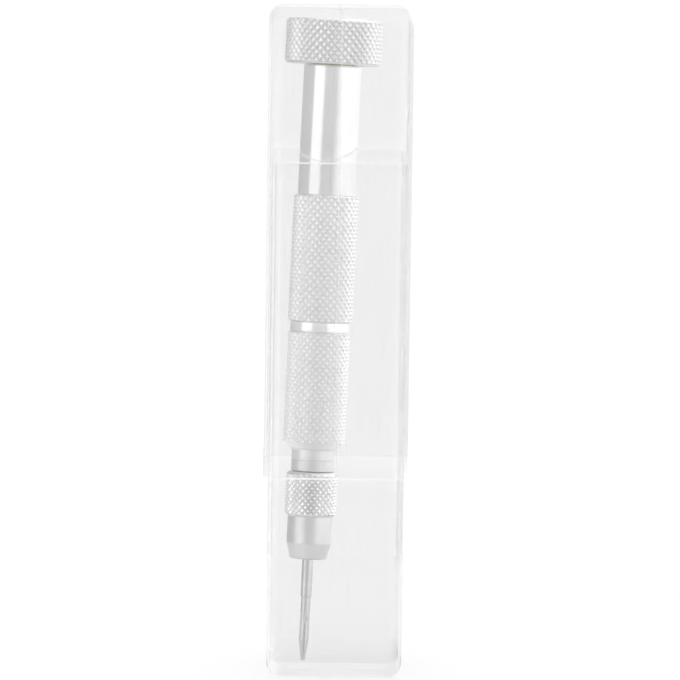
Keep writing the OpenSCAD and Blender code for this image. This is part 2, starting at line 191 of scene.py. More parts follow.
def grey(level: float) -> tuple[float, float, float, float]:
    """Opaque grey of one level."""
    return (level, level, level, 1.0)


class Sheet:
    """The node sheet of one material or world."""

    def __init__(self, tree: bpy.types.NodeTree, output_kind: str) -> None:
        """Empties the tree and puts its output in.

        Args:
            tree: Node tree to fill.
            output_kind: Type name of the output node.
        """
        self.tree = tree
        tree.nodes.clear()
        self.output = tree.nodes.new(output_kind)

    def make(
        self, kind: str, settings: Optional[dict] = None, inputs: Optional[dict] = None
    ) -> bpy.types.Node:
        """Adds any node.

        Args:
            kind: Node type name.
            settings: Attributes to set first. The key stops fills a colour ramp.
            inputs: Values or wires by socket name or number.

        Returns:
            The new node.
        """
        node = self.tree.nodes.new(kind)
        for key, value in (settings or {}).items():
            if key == "stops":
                self._fill_ramp(node.color_ramp, value)
            else:
                setattr(node, key, value)
        for key, value in (inputs or {}).items():
            if isinstance(value, Wire):
                self.tree.links.new(value.socket, node.inputs[key])
            else:
                node.inputs[key].default_value = value
        return node

    def add(
        self,
        kind: str,
        settings: Optional[dict] = None,
        inputs: Optional[dict] = None,
        output: Union[int, str] = 0,
    ) -> Wire:
        """Adds any node and wraps one of its outputs.

        Args:
            kind: Node type name.
            settings: Attributes to set first.
            inputs: Values or wires by socket name or number.
            output: Name or number of the output wanted.

        Returns:
            The wanted output.
        """
        return Wire(self, self.make(kind, settings, inputs).outputs[output])

    @staticmethod
    def _fill_ramp(ramp: bpy.types.ColorRamp, stops: Sequence[tuple[float, float]]) -> None:
        """Sets a ramp's grey stops.

        Args:
            ramp: The ramp.
            stops: Place and grey of each stop, in order.
        """
        while len(ramp.elements) < len(stops):
            ramp.elements.new(1.0)
        for element, (place, level) in zip(ramp.elements, stops):
            element.position = place
            element.color = grey(level)

    def noise(self, where: Wire, scale: float, detail: float = 2.0) -> Wire:
        """Noise from 0 to 1.

        Args:
            where: Coordinates.
            scale: Features per metre.
            detail: Octaves.

        Returns:
            The noise value.
        """
        return self.add(
            "ShaderNodeTexNoise", {}, {"Vector": where, "Scale": scale, "Detail": detail}
        )

    def tint(self, share: Term, first: Sequence[float], second: Sequence[float]) -> Wire:
        """Blend of two colours.

        Args:
            share: 0 gives the first colour and 1 the second.
            first: First colour, red green blue.
            second: Second colour, red green blue.

        Returns:
            The blended colour.
        """
        inputs = {0: share, 6: (*first, 1.0), 7: (*second, 1.0)}
        return self.add("ShaderNodeMix", {"data_type": "RGBA"}, inputs, 2)

    def bump(self, height: Wire, strength: float, depth: float) -> Wire:
        """Surface normal bent by a height.

        Args:
            height: Height from 0 to 1.
            strength: Share of the effect.
            depth: Height of 1, in metres.

        Returns:
            The normal.
        """
        return self.add(
            "ShaderNodeBump", {}, {"Strength": strength, "Distance": depth, "Height": height}
        )

    def place(self) -> Wire:
        """Coordinates fixed to the piece, in metres."""
        return self.add("ShaderNodeTexCoord", output="Object")

    def vector(self, operation: str, first: Triple, second: Triple, output: int = 0) -> Wire:
        """Adds a Vector Math node.

        Args:
            operation: The node's operation.
            first: First vector or wire.
            second: Second vector or wire.
            output: 0 for a vector result and 1 for a number.

        Returns:
            The result.
        """
        return self.add(
            "ShaderNodeVectorMath", {"operation": operation}, {0: first, 1: second}, output
        )

    def reach(self, vector: Wire, direction: Sequence[float]) -> Wire:
        """How far a vector reaches along a direction."""
        return self.vector("DOT_PRODUCT", vector, tuple(direction), 1)

    def surface(self, inputs: dict) -> Wire:
        """General surface shader, with values or wires by socket name."""
        return self.add("ShaderNodeBsdfPrincipled", {}, inputs)

    def clear(self, level: float) -> Wire:
        """Shader that lets light straight through, dimmed to a grey."""
        return self.add("ShaderNodeBsdfTransparent", {}, {"Color": grey(level)})

    def blend(self, share: Term, first: Wire, second: Wire) -> Wire:
        """Blend of two shaders.

        Args:
            share: 0 gives the first shader and 1 the second.
            first: First shader.
            second: Second shader.

        Returns:
            The blended shader.
        """
        return self.add("ShaderNodeMixShader", {}, {0: share, 1: first, 2: second})

    def finish(self, shader: Wire) -> None:
        """Links the shader to the output."""
        self.tree.links.new(shader.socket, self.output.inputs["Surface"])


@dataclass(frozen=True)
class Axis:
    """The tool's own axis, which runs up from the tip of its bit."""

    tip: Vector
    along: Vector

    @staticmethod
    def from_frame(frame: dict) -> "Axis":
        """Reads the axis.


        Returns:
            The axis, from the tip's mount and the swivel head's joint.
        """
        mounts = {mount["name"]: mount for mount in frame["record"]["mounts"]}
        joints = {joint["name"]: joint for joint in frame["joints"]}
        direction = Vector(joints["swivel_head_turn"]["axis"]).normalized()
        return Axis(Vector(mounts["driver_tip"]["pos_m"]), direction)

    def matrix(self) -> Matrix:
        """Works out how the tool stands.

        Returns:
            Matrix from millimetres along the tool to metres in the part's frame.
        """
        back = math.asin(self.along.y)
        right = math.atan2(self.along.x, self.along.z)
        turn = Matrix.Rotation(right, 4, "Y") @ Matrix.Rotation(-back, 4, "X")
        return Matrix.Translation(self.tip) @ turn @ Matrix.Scale(MM, 4)

    def span(self, node: str) -> "Span":
        """Measures a construction node along the axis.

        Args:
            node: Node name.

        Returns:
            Its lowest and highest station and its outer radius.
        """
        to_tool = self.matrix().inverted()
        points = [to_tool @ v.co for v in bpy.data.objects[node].data.vertices]
        heights = [p.z for p in points]
        return Span(min(heights), max(heights), max(math.hypot(p.x, p.y) for p in points))


@dataclass(frozen=True)
class Span:
    """A piece's reach along the tool and its radius."""

    low: float
    high: float
    radius: float


def axis_wires(sheet: Sheet, axis: Axis) -> tuple[Wire, Wire]:
    """Finds where a shaded point lies on the tool.

    Args:
        sheet: Node sheet.
        axis: The tool's axis.

    Returns:
        Millimetres up the axis and millimetres out from it.
    """
    offset = sheet.vector("SUBTRACT", sheet.place(), tuple(axis.tip))
    along = sheet.reach(offset, axis.along)
    across = sheet.vector("CROSS_PRODUCT", offset, tuple(axis.along))
    out = sheet.vector("LENGTH", across, (0.0, 0.0, 0.0), 1)
    return along / MM, out / MM


class Finish:
    """Base of all finishes: makes its material once."""

    name: str

    def material(self) -> bpy.types.Material:
        """Makes the material, or finds it if this script made it before.

        Returns:
            The material.
        """
        label = "look_" + self.name
        found = bpy.data.materials.get(label)
        if found:
            return found
        made = bpy.data.materials.new(label)
        made.use_nodes = True
        self.paint(Sheet(made.node_tree, "ShaderNodeOutputMaterial"))
        return made

    def paint(self, sheet: Sheet) -> None:
        """Fills the sheet.

        Args:
            sheet: Empty node sheet of the material.
        """
        raise NotImplementedError


@dataclass(frozen=True)
class TurnedMetal(Finish):
    """Plated metal with turning marks round the tool's axis, faint handling marks and, on
    knurling, painted shade in the valleys.
    """

    name: str
    axis: Axis
    light: tuple[float, float, float]
    dark: tuple[float, float, float]
    roughness: float
    metallic: float = 1.0
    mark_pitch: float = 0.12
    mark_depth: float = 0.001
    knurl_radius: float = 0.0
    knurl_depth: float = 1.0
    knurl_end_share: float = 1.15
    # Painted shade in the knurl valleys: the depth share where it starts, and its strength.
    valley_from_share: float = 0.1
    valley_shade: float = 0.55
    plain_from_share: float = 1.15
    # How much darker the plain part below the knurling is drawn.
    plain_darkening: float = 0.0
    plain_roughness: float = 0.0
    cloud_scale: float = 260.0
    cloud_detail: float = 3.0
    grain_scale: float = 9000.0
    wander_scale: float = 400.0
    wander_reach: float = 4.0
    stain_from: float = 0.35
    stain_gain: float = 0.9
    knurl_cloud_share: float = 0.5
    cloud_wear: float = 0.08
    grain_wear: float = 0.05
    mark_share: float = 0.6
    relief_share: float = 0.6

    def paint(self, sheet: Sheet) -> None:
        """Fills the sheet.

        Args:
            sheet: Empty node sheet of the material.
        """
        along, out = axis_wires(sheet, self.axis)
        cloud = sheet.noise(sheet.place(), self.cloud_scale, self.cloud_detail)
        grain = sheet.noise(sheet.place(), self.grain_scale)
        wander = sheet.noise(sheet.place(), self.wander_scale) * self.wander_reach
        marks = (along * (2 * math.pi / self.mark_pitch) + wander).wave() * 0.5 + 0.5
        stain_and_shade = (cloud - self.stain_from) * self.stain_gain
        worn = (cloud - 0.5) * self.cloud_wear + grain * self.grain_wear
        if self.knurl_radius:
            valley = (self.knurl_radius - out) / self.knurl_depth
            plain = valley.over(self.plain_from_share)
            knurled = 1 - valley.over(self.knurl_end_share)
            # Painted shade: knurl valleys are darkened by their depth, standing in for the shade
            # that falls in them.
            painted_valley_shade = valley.ease(self.valley_from_share, 1.0) * knurled
            stain_and_shade = stain_and_shade * self.knurl_cloud_share + painted_valley_shade * self.valley_shade
            # The plain part below the knurling is drawn darker.
            stain_and_shade = stain_and_shade + plain * self.plain_darkening
            worn = worn + plain * self.plain_roughness
        relief = marks * self.mark_share + grain * (1 - self.mark_share)
        sheet.finish(sheet.surface({
            "Base Color": sheet.tint(stain_and_shade, self.light, self.dark),
            "Metallic": self.metallic,
            "Roughness": self.roughness + worn,
            "Normal": sheet.bump(relief, self.relief_share, self.mark_depth * MM),
        }))


@dataclass(frozen=True)
class Matter(Finish):
    """Plain non-metal stuff, such as felt, rubber or carrier plastic."""

    name: str
    light: tuple[float, float, float]
    dark: tuple[float, float, float]
    roughness: float
    grain_scale: float
    grain_depth: float
    grain_detail: float = 4.0
    grains_per_cloud: float = 8.0
    grain_share: float = 0.6
    cloud_wear: float = 0.2
    relief_share: float = 0.8

    def paint(self, sheet: Sheet) -> None:
        """Fills the sheet.

        Args:
            sheet: Empty node sheet of the material.
        """
        grain = sheet.noise(sheet.place(), self.grain_scale, self.grain_detail)
        cloud = sheet.noise(sheet.place(), self.grain_scale / self.grains_per_cloud)
        share = grain * self.grain_share + cloud * (1 - self.grain_share)
        sheet.finish(sheet.surface({
            "Base Color": sheet.tint(share, self.light, self.dark),
            "Roughness": self.roughness + (cloud - 0.5) * self.cloud_wear,
            "Normal": sheet.bump(grain, self.relief_share, self.grain_depth * MM),
        }))


@dataclass(frozen=True)
class HazyPlastic(Finish):
    """Clear moulded plastic, a little milky, greyer where the other half does not overlap it and
    painted clearer where it does, to offset the darker double wall.
    """

    name: str
    # Painted lightening: the tint holds up to the first height and clears from the second, where
    # the other half overlaps, offsetting the darker double wall.
    single_wall_to_z: float
    overlap_from_z: float
    rim_z: float
    single_wall_tint: float
    overlap_tint: float
    haze: float
    bent_share: float
    line_haze: float
    refraction: float = 1.49
    straight_mirror: float = 0.028
    mirror_grey: float = 0.87
    milk: float = 0.92
    # A thin band round the open rim glows as a painted highlight, with this height, share and
    # strength.
    rim_height: float = 0.00035
    rim_share: float = 0.6
    rim_painted_glow: float = 0.97
    edge_tint: float = 0.976
    edge_from: float = 0.12
    edge_full: float = 0.75
    level_mirror: float = 1.0
    line_width: float = 0.0004
    flow_scale: float = 45.0
    flow_detail: float = 1.0
    flow_haze: float = 0.4
    scuff_scale: float = 1500.0
    scuff_detail: float = 3.0
    scuff_stretch: float = 0.06
    scuff_from: float = 0.55
    scuff_full: float = 0.8
    scuff_haze: float = 0.8
    even_haze: float = 0.6
    ripple_share: float = 0.35
    ripple_depth: float = 0.00004
    clear_roughness: float = 0.01
    clear_scuff: float = 0.05
    gloss_roughness: float = 0.04
    gloss_scuff: float = 0.1
    mirror_power: float = 5.0

    def _plain(self, sheet: Sheet, height: Wire) -> Wire:
        """Light that goes straight through, greyer towards the closed end and painted clearer
        where the other half overlaps.

        Args:
            sheet: Node sheet.
            height: Height of the shaded point.

        Returns:
            The shader.
        """
        # Painted lightening where the other half overlaps.
        overlapped = height.ease(self.single_wall_to_z, self.overlap_from_z)
        return sheet.blend(overlapped, sheet.clear(self.single_wall_tint), sheet.clear(self.overlap_tint))

    def _milk(self, sheet: Sheet) -> Wire:
        """Light scattered by the plastic, half of it back and half of it on.

        Args:
            sheet: Node sheet.

        Returns:
            The shader.
        """
        back = sheet.add("ShaderNodeBsdfDiffuse", {}, {"Color": grey(self.milk)})
        onward = sheet.add("ShaderNodeBsdfTranslucent", {}, {"Color": grey(self.milk)})
        return sheet.blend(0.5, back, onward)

    def _bent(self, sheet: Sheet, rubbed: Wire, ripple: Wire) -> Wire:
        """Light that the plastic refracts.

        Args:
            sheet: Node sheet.
            rubbed: How scuffed the point is.
            ripple: Normal of the faintly wavy surface.

        Returns:
            The shader.
        """
        return sheet.surface({
            "Base Color": grey(1.0),
            "Roughness": self.clear_roughness + rubbed * self.clear_scuff,
            "IOR": self.refraction,
            "Transmission Weight": 1.0,
            "Normal": ripple,
        })

    def _gloss(self, sheet: Sheet, rubbed: Wire, ripple: Wire) -> Wire:
        """Light that the surface mirrors.

        Args:
            sheet: Node sheet.
            rubbed: How scuffed the point is.
            ripple: Normal of the faintly wavy surface.

        Returns:
            The shader.
        """
        return sheet.surface({
            "Base Color": grey(self.mirror_grey),
            "Metallic": 1.0,
            "Roughness": self.gloss_roughness + rubbed * self.gloss_scuff,
            "Normal": ripple,
        })

    def paint(self, sheet: Sheet) -> None:
        """Fills the sheet.

        Args:
            sheet: Empty node sheet of the material.
        """
        place = sheet.place()
        height = sheet.reach(place, UP)
        side = sheet.reach(place, RIGHT)
        level = sheet.reach(sheet.add("ShaderNodeNewGeometry", output="Normal"), UP)
        upright = 1 - level * level
        flow = sheet.noise(place, self.flow_scale, self.flow_detail)
        drawn = sheet.vector("MULTIPLY", place, (1.0, 1.0, self.scuff_stretch))
        scuff = sheet.noise(drawn, self.scuff_scale, self.scuff_detail)
        rubbed = scuff.ease(self.scuff_from, self.scuff_full)
        ripple = sheet.bump(flow, self.ripple_share, self.ripple_depth)
        slant = sheet.add("ShaderNodeLayerWeight", {}, {"Blend": 0.5, "Normal": ripple}, "Facing")
        kept = upright * (1 - self.level_mirror) + self.level_mirror
        grazing = slant ** self.mirror_power * kept
        mirror = grazing * (1 - self.straight_mirror) + self.straight_mirror
        # Painted highlight: a thin band at the open rim glows and loses its gloss.
        off_rim = (height - self.rim_z) * (height - self.rim_z)
        rim = off_rim.ease(self.rim_height ** 2, (self.rim_height / 2) ** 2)
        line = (side * side).ease((self.line_width / 2) ** 2, (self.line_width / 4) ** 2)
        cloud = self.even_haze + rubbed * self.scuff_haze + flow * self.flow_haze
        haze = self.haze * cloud + line * self.line_haze
        edge = slant.ease(self.edge_from, self.edge_full) * upright
        painted_rim_glow = sheet.add("ShaderNodeEmission", {}, {"Strength": self.rim_painted_glow})
        body = sheet.blend(edge, self._plain(sheet, height), sheet.clear(self.edge_tint))
        body = sheet.blend(self.bent_share, body, self._bent(sheet, rubbed, ripple))
        body = sheet.blend(haze, body, self._milk(sheet))
        body = sheet.blend(rim * self.rim_share, body, painted_rim_glow)
        sheet.finish(sheet.blend(mirror * (1 - rim), body, self._gloss(sheet, rubbed, ripple)))


Ring = list[int]


class Skin:
    """A mesh in the making, put together from rings of points."""

    LEAST_RING = 1e-6

    def __init__(self) -> None:
        """Starts with nothing."""
        self.points: list[Vector] = []
        self.faces: list[tuple[int, ...]] = []

    def point(self, x: float, y: float, z: float) -> int:
        """Adds a point and returns its number."""
        self.points.append(Vector((x, y, z)))
        return len(self.points) - 1

    def ring(self, radius: float, z: float, angles: Sequence[float]) -> Ring:
        """Adds a round ring.

        Args:
            radius: Radius, where 0 gives one point.
            z: Height.
            angles: Angle of each point.

        Returns:
            Numbers of its points.
        """
        if radius < self.LEAST_RING:
            return [self.point(0.0, 0.0, z)]
        return [self.point(radius * math.cos(a), radius * math.sin(a), z) for a in angles]

    def bridge(self, first: Ring, second: Ring) -> None:
        """Joins two rings with faces.

        Args:
            first: One ring.
            second: The next one, of the same count unless either is a single point.
        """
        count = max(len(first), len(second))
        for i in range(count):
            j = (i + 1) % count
            corners = [first[i % len(first)], first[j % len(first)]]
            corners += [second[j % len(second)], second[i % len(second)]]
            self.faces.append(tuple(dict.fromkeys(corners)))

    def turn(self, outline: Sequence[tuple[float, float]], angles: Sequence[float]) -> list[Ring]:
        """Turns an open outline round the axis.

        Args:
            outline: Radius and height of each point.
            angles: Angle of each point of a ring.

        Returns:
            The rings, in the outline's order.
        """
        rings = [self.ring(radius, z, angles) for radius, z in outline]
        for first, second in zip(rings, rings[1:]):
            self.bridge(first, second)
        return rings

    def build(self, name: str, matrix: Matrix, sharp_degrees: float = 35.0) -> bpy.types.Object:
        """Makes the mesh object.

        Args:
            name: Object name.
            matrix: From the skin's millimetres to metres in the part's frame.
            sharp_degrees: Edges that turn more than this stay sharp.

        Returns:
            The object, linked to the scene.
        """
        mesh = bpy.data.meshes.new(name)
        mesh.from_pydata([matrix @ p for p in self.points], [], self.faces)
        mesh.validate()
        self._face_outwards(mesh)
        mesh.polygons.foreach_set("use_smooth", [True] * len(mesh.polygons))
        mesh.set_sharp_from_angle(angle=math.radians(sharp_degrees))
        made = bpy.data.objects.new(name, mesh)
        bpy.context.scene.collection.objects.link(made)
        return made

    @staticmethod
    def _face_outwards(mesh: bpy.types.Mesh) -> None:
        """Turns every face the same way, and all of them outwards.

        Args:
            mesh: Mesh to change.
        """
        work = bmesh.new()
        work.from_mesh(mesh)
        bmesh.ops.recalc_face_normals(work, faces=work.faces)
        if work.calc_volume(signed=True) < 0:
            bmesh.ops.reverse_faces(work, faces=work.faces)
        work.to_mesh(mesh)
        work.free()


def even_angles(count: int) -> list[float]:
    """Angles of evenly spaced points round a circle."""
    return [2 * math.pi * i / count for i in range(count)]


def rounded(corners: Sequence[tuple[float, ...]], steps: int = 5) -> list[tuple[float, float]]:
    """Rounds the corners of an outline.

    Args:
        corners: Radius, height and, where the corner is rounded, its radius.
        steps: Faces of each rounding.

    Returns:
        Radius and height of each point.
    """
    outline: list[tuple[float, float]] = []
    for i, corner in enumerate(corners):
        here = Vector(corner[:2])
        blend = corner[2] if len(corner) > 2 else 0.0
        if not blend:
            outline.append((here.x, here.y))
            continue
        before = (Vector(corners[i - 1][:2]) - here).normalized()
        after = (Vector(corners[(i + 1) % len(corners)][:2]) - here).normalized()
        half = before.angle(after) / 2
        reach = blend / math.tan(half)
        centre = here + (before + after).normalized() * blend / math.sin(half)
        start = here + before * reach - centre
        sweep = start.angle_signed(here + after * reach - centre)
        for step in range(steps + 1):
            turned = start.copy()
            turned.rotate(Matrix.Rotation(-sweep * step / steps, 2))
            outline.append(tuple(centre + turned))
    return outline


@dataclass(frozen=True)
class Knurl:
    """Diamond knurling on a cylinder, with small flats left on the diamonds."""

    radius: float
    low: float
    high: float
    columns: int
    rows: int
    depth: float
    flat_share: float = 0.22
    key_digits: int = 4

    def angles(self) -> list[float]:
        """Finds where the points of the knurling's two border rings lie.

        Returns:
            Their angles, in order round the axis.
        """
        half = math.pi / self.columns
        flat = half * self.flat_share
        return [
            angle
            for column in range(self.columns)
            for angle in (
                2 * column * half,
                (2 * column + 1) * half - flat,
                (2 * column + 1) * half + flat,
            )
        ]

    def cut(self, skin: Skin) -> tuple[Ring, Ring]:
        """Adds the knurled surface to a skin.

        Args:
            skin: Skin to add to.

        Returns:
            The lower and the upper border ring.
        """
        half_angle = math.pi / self.columns
        half_height = (self.high - self.low) / (2 * self.rows)
        cache: dict[tuple[float, ...], int] = {}

        def at(radius: float, i: float, j: float) -> int:
            """Adds a point of the diamond lattice, once.

            Args:
                radius: Distance from the axis.
                i: Place round the axis, in half columns.
                j: Place up the axis, in half rows.

            Returns:
                The point's number.
            """
            place = (radius, i % (2 * self.columns), j)
            key = tuple(round(value, self.key_digits) for value in place)
            if key not in cache:
                angle = i * half_angle
                cache[key] = skin.point(
                    radius * math.cos(angle), radius * math.sin(angle), self.low + j * half_height
                )
            return cache[key]

        valley = self.radius - self.depth
        flat = self.flat_share
        top_row = 2 * self.rows
        for j in range(top_row + 1):
            for i in range((j + 1) % 2, 2 * self.columns, 2):
                hubs = [(i - 1, j), (i, j - 1), (i + 1, j), (i, j + 1)]
                inner = [(i + (u - i) * flat, j + (v - j) * flat) for u, v in hubs]
                keep = [0 <= v <= top_row for _, v in hubs]
                crown = [at(self.radius, *p) for p, k in zip(inner, keep) if k]
                skin.faces.append(tuple(crown))
                for a in range(len(hubs)):
                    b = (a + 1) % len(hubs)
                    if keep[a] and keep[b]:
                        skin.faces.append((
                            at(valley, *hubs[a]), at(valley, *hubs[b]),
                            at(self.radius, *inner[b]), at(self.radius, *inner[a]),
                        ))
        borders = []
        for j in (0, top_row):
            border = []
            for column in range(self.columns):
                i = 2 * column
                border += [at(valley, i, j), at(self.radius, i + 1 - flat, j)]
                border.append(at(self.radius, i + 1 + flat, j))
            borders.append(border)
        return borders[0], borders[1]


@dataclass
class Piece:
    """What every modelled piece has: a name, the node it stands for and its body."""

    name: str
    node: str
    body: str
    slot: Slot
    finish: Finish

    def settle(self, made: bpy.types.Object) -> bpy.types.Object:
        """Dresses a finished object and hands it to its body.

        Args:
            made: The new object.

        Returns:
            The same object.
        """
        made.data.materials.append(self.finish.material())
        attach(made, self.body)
        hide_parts(self.node)
        LOG.info("%s: %d faces", self.name, len(made.data.polygons))
        return made


@dataclass
class TurnedPiece(Piece):
    """A piece turned on the tool's axis from one closed outline."""

    axis: Axis
    corners: Sequence[tuple[float, ...]]
    segments: int = 144

    def build(self) -> bpy.types.Object:
        """Builds the piece.

        Returns:
            The finished object.
        """
        skin = Skin()
        outline = rounded(self.corners)
        angles = even_angles(self.segments)
        rings = skin.turn(outline, angles)
        skin.bridge(rings[-1], rings[0])
        return self.settle(skin.build(self.name, self.axis.matrix()))


@dataclass
class KnurledPiece(Piece):
    """A turned piece with a knurled band.

    The outline runs from the band's top, through the inside, to the band's foot.
    """

    axis: Axis
    knurl: Knurl
    corners: Sequence[tuple[float, ...]]

    def build(self) -> bpy.types.Object:
        """Builds the piece.

        Returns:
            The finished object.
        """
        skin = Skin()
        low, high = self.knurl.cut(skin)
        rings = skin.turn(rounded(self.corners), self.knurl.angles())
        skin.bridge(high, rings[0])
        skin.bridge(rings[-1], low)
        return self.settle(skin.build(self.name, self.axis.matrix()))


@dataclass
class FlutedBit(Piece):
    """The driver bit: round shank, tapered blade and four flutes that form a cross point."""

    axis: Axis
    shank_radius: float
    length: float
    point_length: float = 3.9
    blade_length: float = 12.4
    point_radius: float = 0.42
    blade_low_radius: float = 1.01
    blade_top_radius: float = 0.92
    flutes: int = 4
    flute_length: float = 9.6
    flute_depth_share: float = 0.48
    full_flute_share: float = 0.7
    flute_width_share: float = 0.82
    flute_power: float = 0.6
    flute_steps: int = 40
    shoulder: float = 0.25
    end_chamfer: float = 0.35
    twist: float = math.radians(6.0)
    segments: int = 96
    sharp_degrees: float = 28.0

    def radius_at(self, z: float) -> float:
        """Finds the outer radius.

        Args:
            z: Height above the tip.

        Returns:
            The radius there, before the flutes are cut.
        """
        stops = [
            (0.0, self.point_radius),
            (self.point_length, self.blade_low_radius),
            (self.blade_length, self.blade_top_radius),
            (self.blade_length + self.shoulder, self.shank_radius),
            (self.length - self.end_chamfer, self.shank_radius),
            (self.length, self.shank_radius - self.end_chamfer),
        ]
        for (z0, r0), (z1, r1) in zip(stops, stops[1:]):
            if z <= z1:
                return r0 + (r1 - r0) * (z - z0) / (z1 - z0)
        return stops[-1][1]

    def flute_at(self, z: float, angle: float) -> float:
        """Finds how deep the flutes cut.

        Args:
            z: Height above the tip.
            angle: Angle round the axis.

        Returns:
            Share of the radius that is taken away there.
        """
        start = self.flute_length * self.full_flute_share
        fade = 1 - min(max((z - start) / (self.flute_length - start), 0.0), 1.0)
        fade = fade * fade * (3 - 2 * fade)
        dip = abs(math.sin(self.flutes / 2 * (angle - self.twist)))
        groove = max(0.0, 1 - dip / self.flute_width_share) ** self.flute_power
        return self.flute_depth_share * fade * groove

    def build(self) -> bpy.types.Object:
        """Builds the piece.

        Returns:
            The finished object.
        """
        skin = Skin()
        steps = self.flute_steps
        heights = [self.flute_length * i / steps for i in range(steps + 1)]
        heights += [self.point_length, self.blade_length, self.blade_length + self.shoulder]
        heights += [self.length - self.end_chamfer, self.length]
        angles = even_angles(self.segments)
        rings = []
        for z in sorted(set(heights)):
            ring = []
            for a in angles:
                r = self.radius_at(z) * (1 - self.flute_at(z, a))
                ring.append(skin.point(r * math.cos(a), r * math.sin(a), z))
            rings.append(ring)
        for first, second in zip(rings, rings[1:]):
            skin.bridge(first, second)
        skin.bridge([skin.point(0.0, 0.0, 0.0)], rings[0])
        skin.bridge(rings[-1], [skin.point(0.0, 0.0, self.length)])
        return self.settle(skin.build(self.name, self.axis.matrix(), self.sharp_degrees))


@dataclass(frozen=True)
class Band:
    """A moulded step in a wall of the case. A negative inset stands proud."""

    low: float
    high: float
    inset: float
    reach: Reach
    ramp: float = 0.12


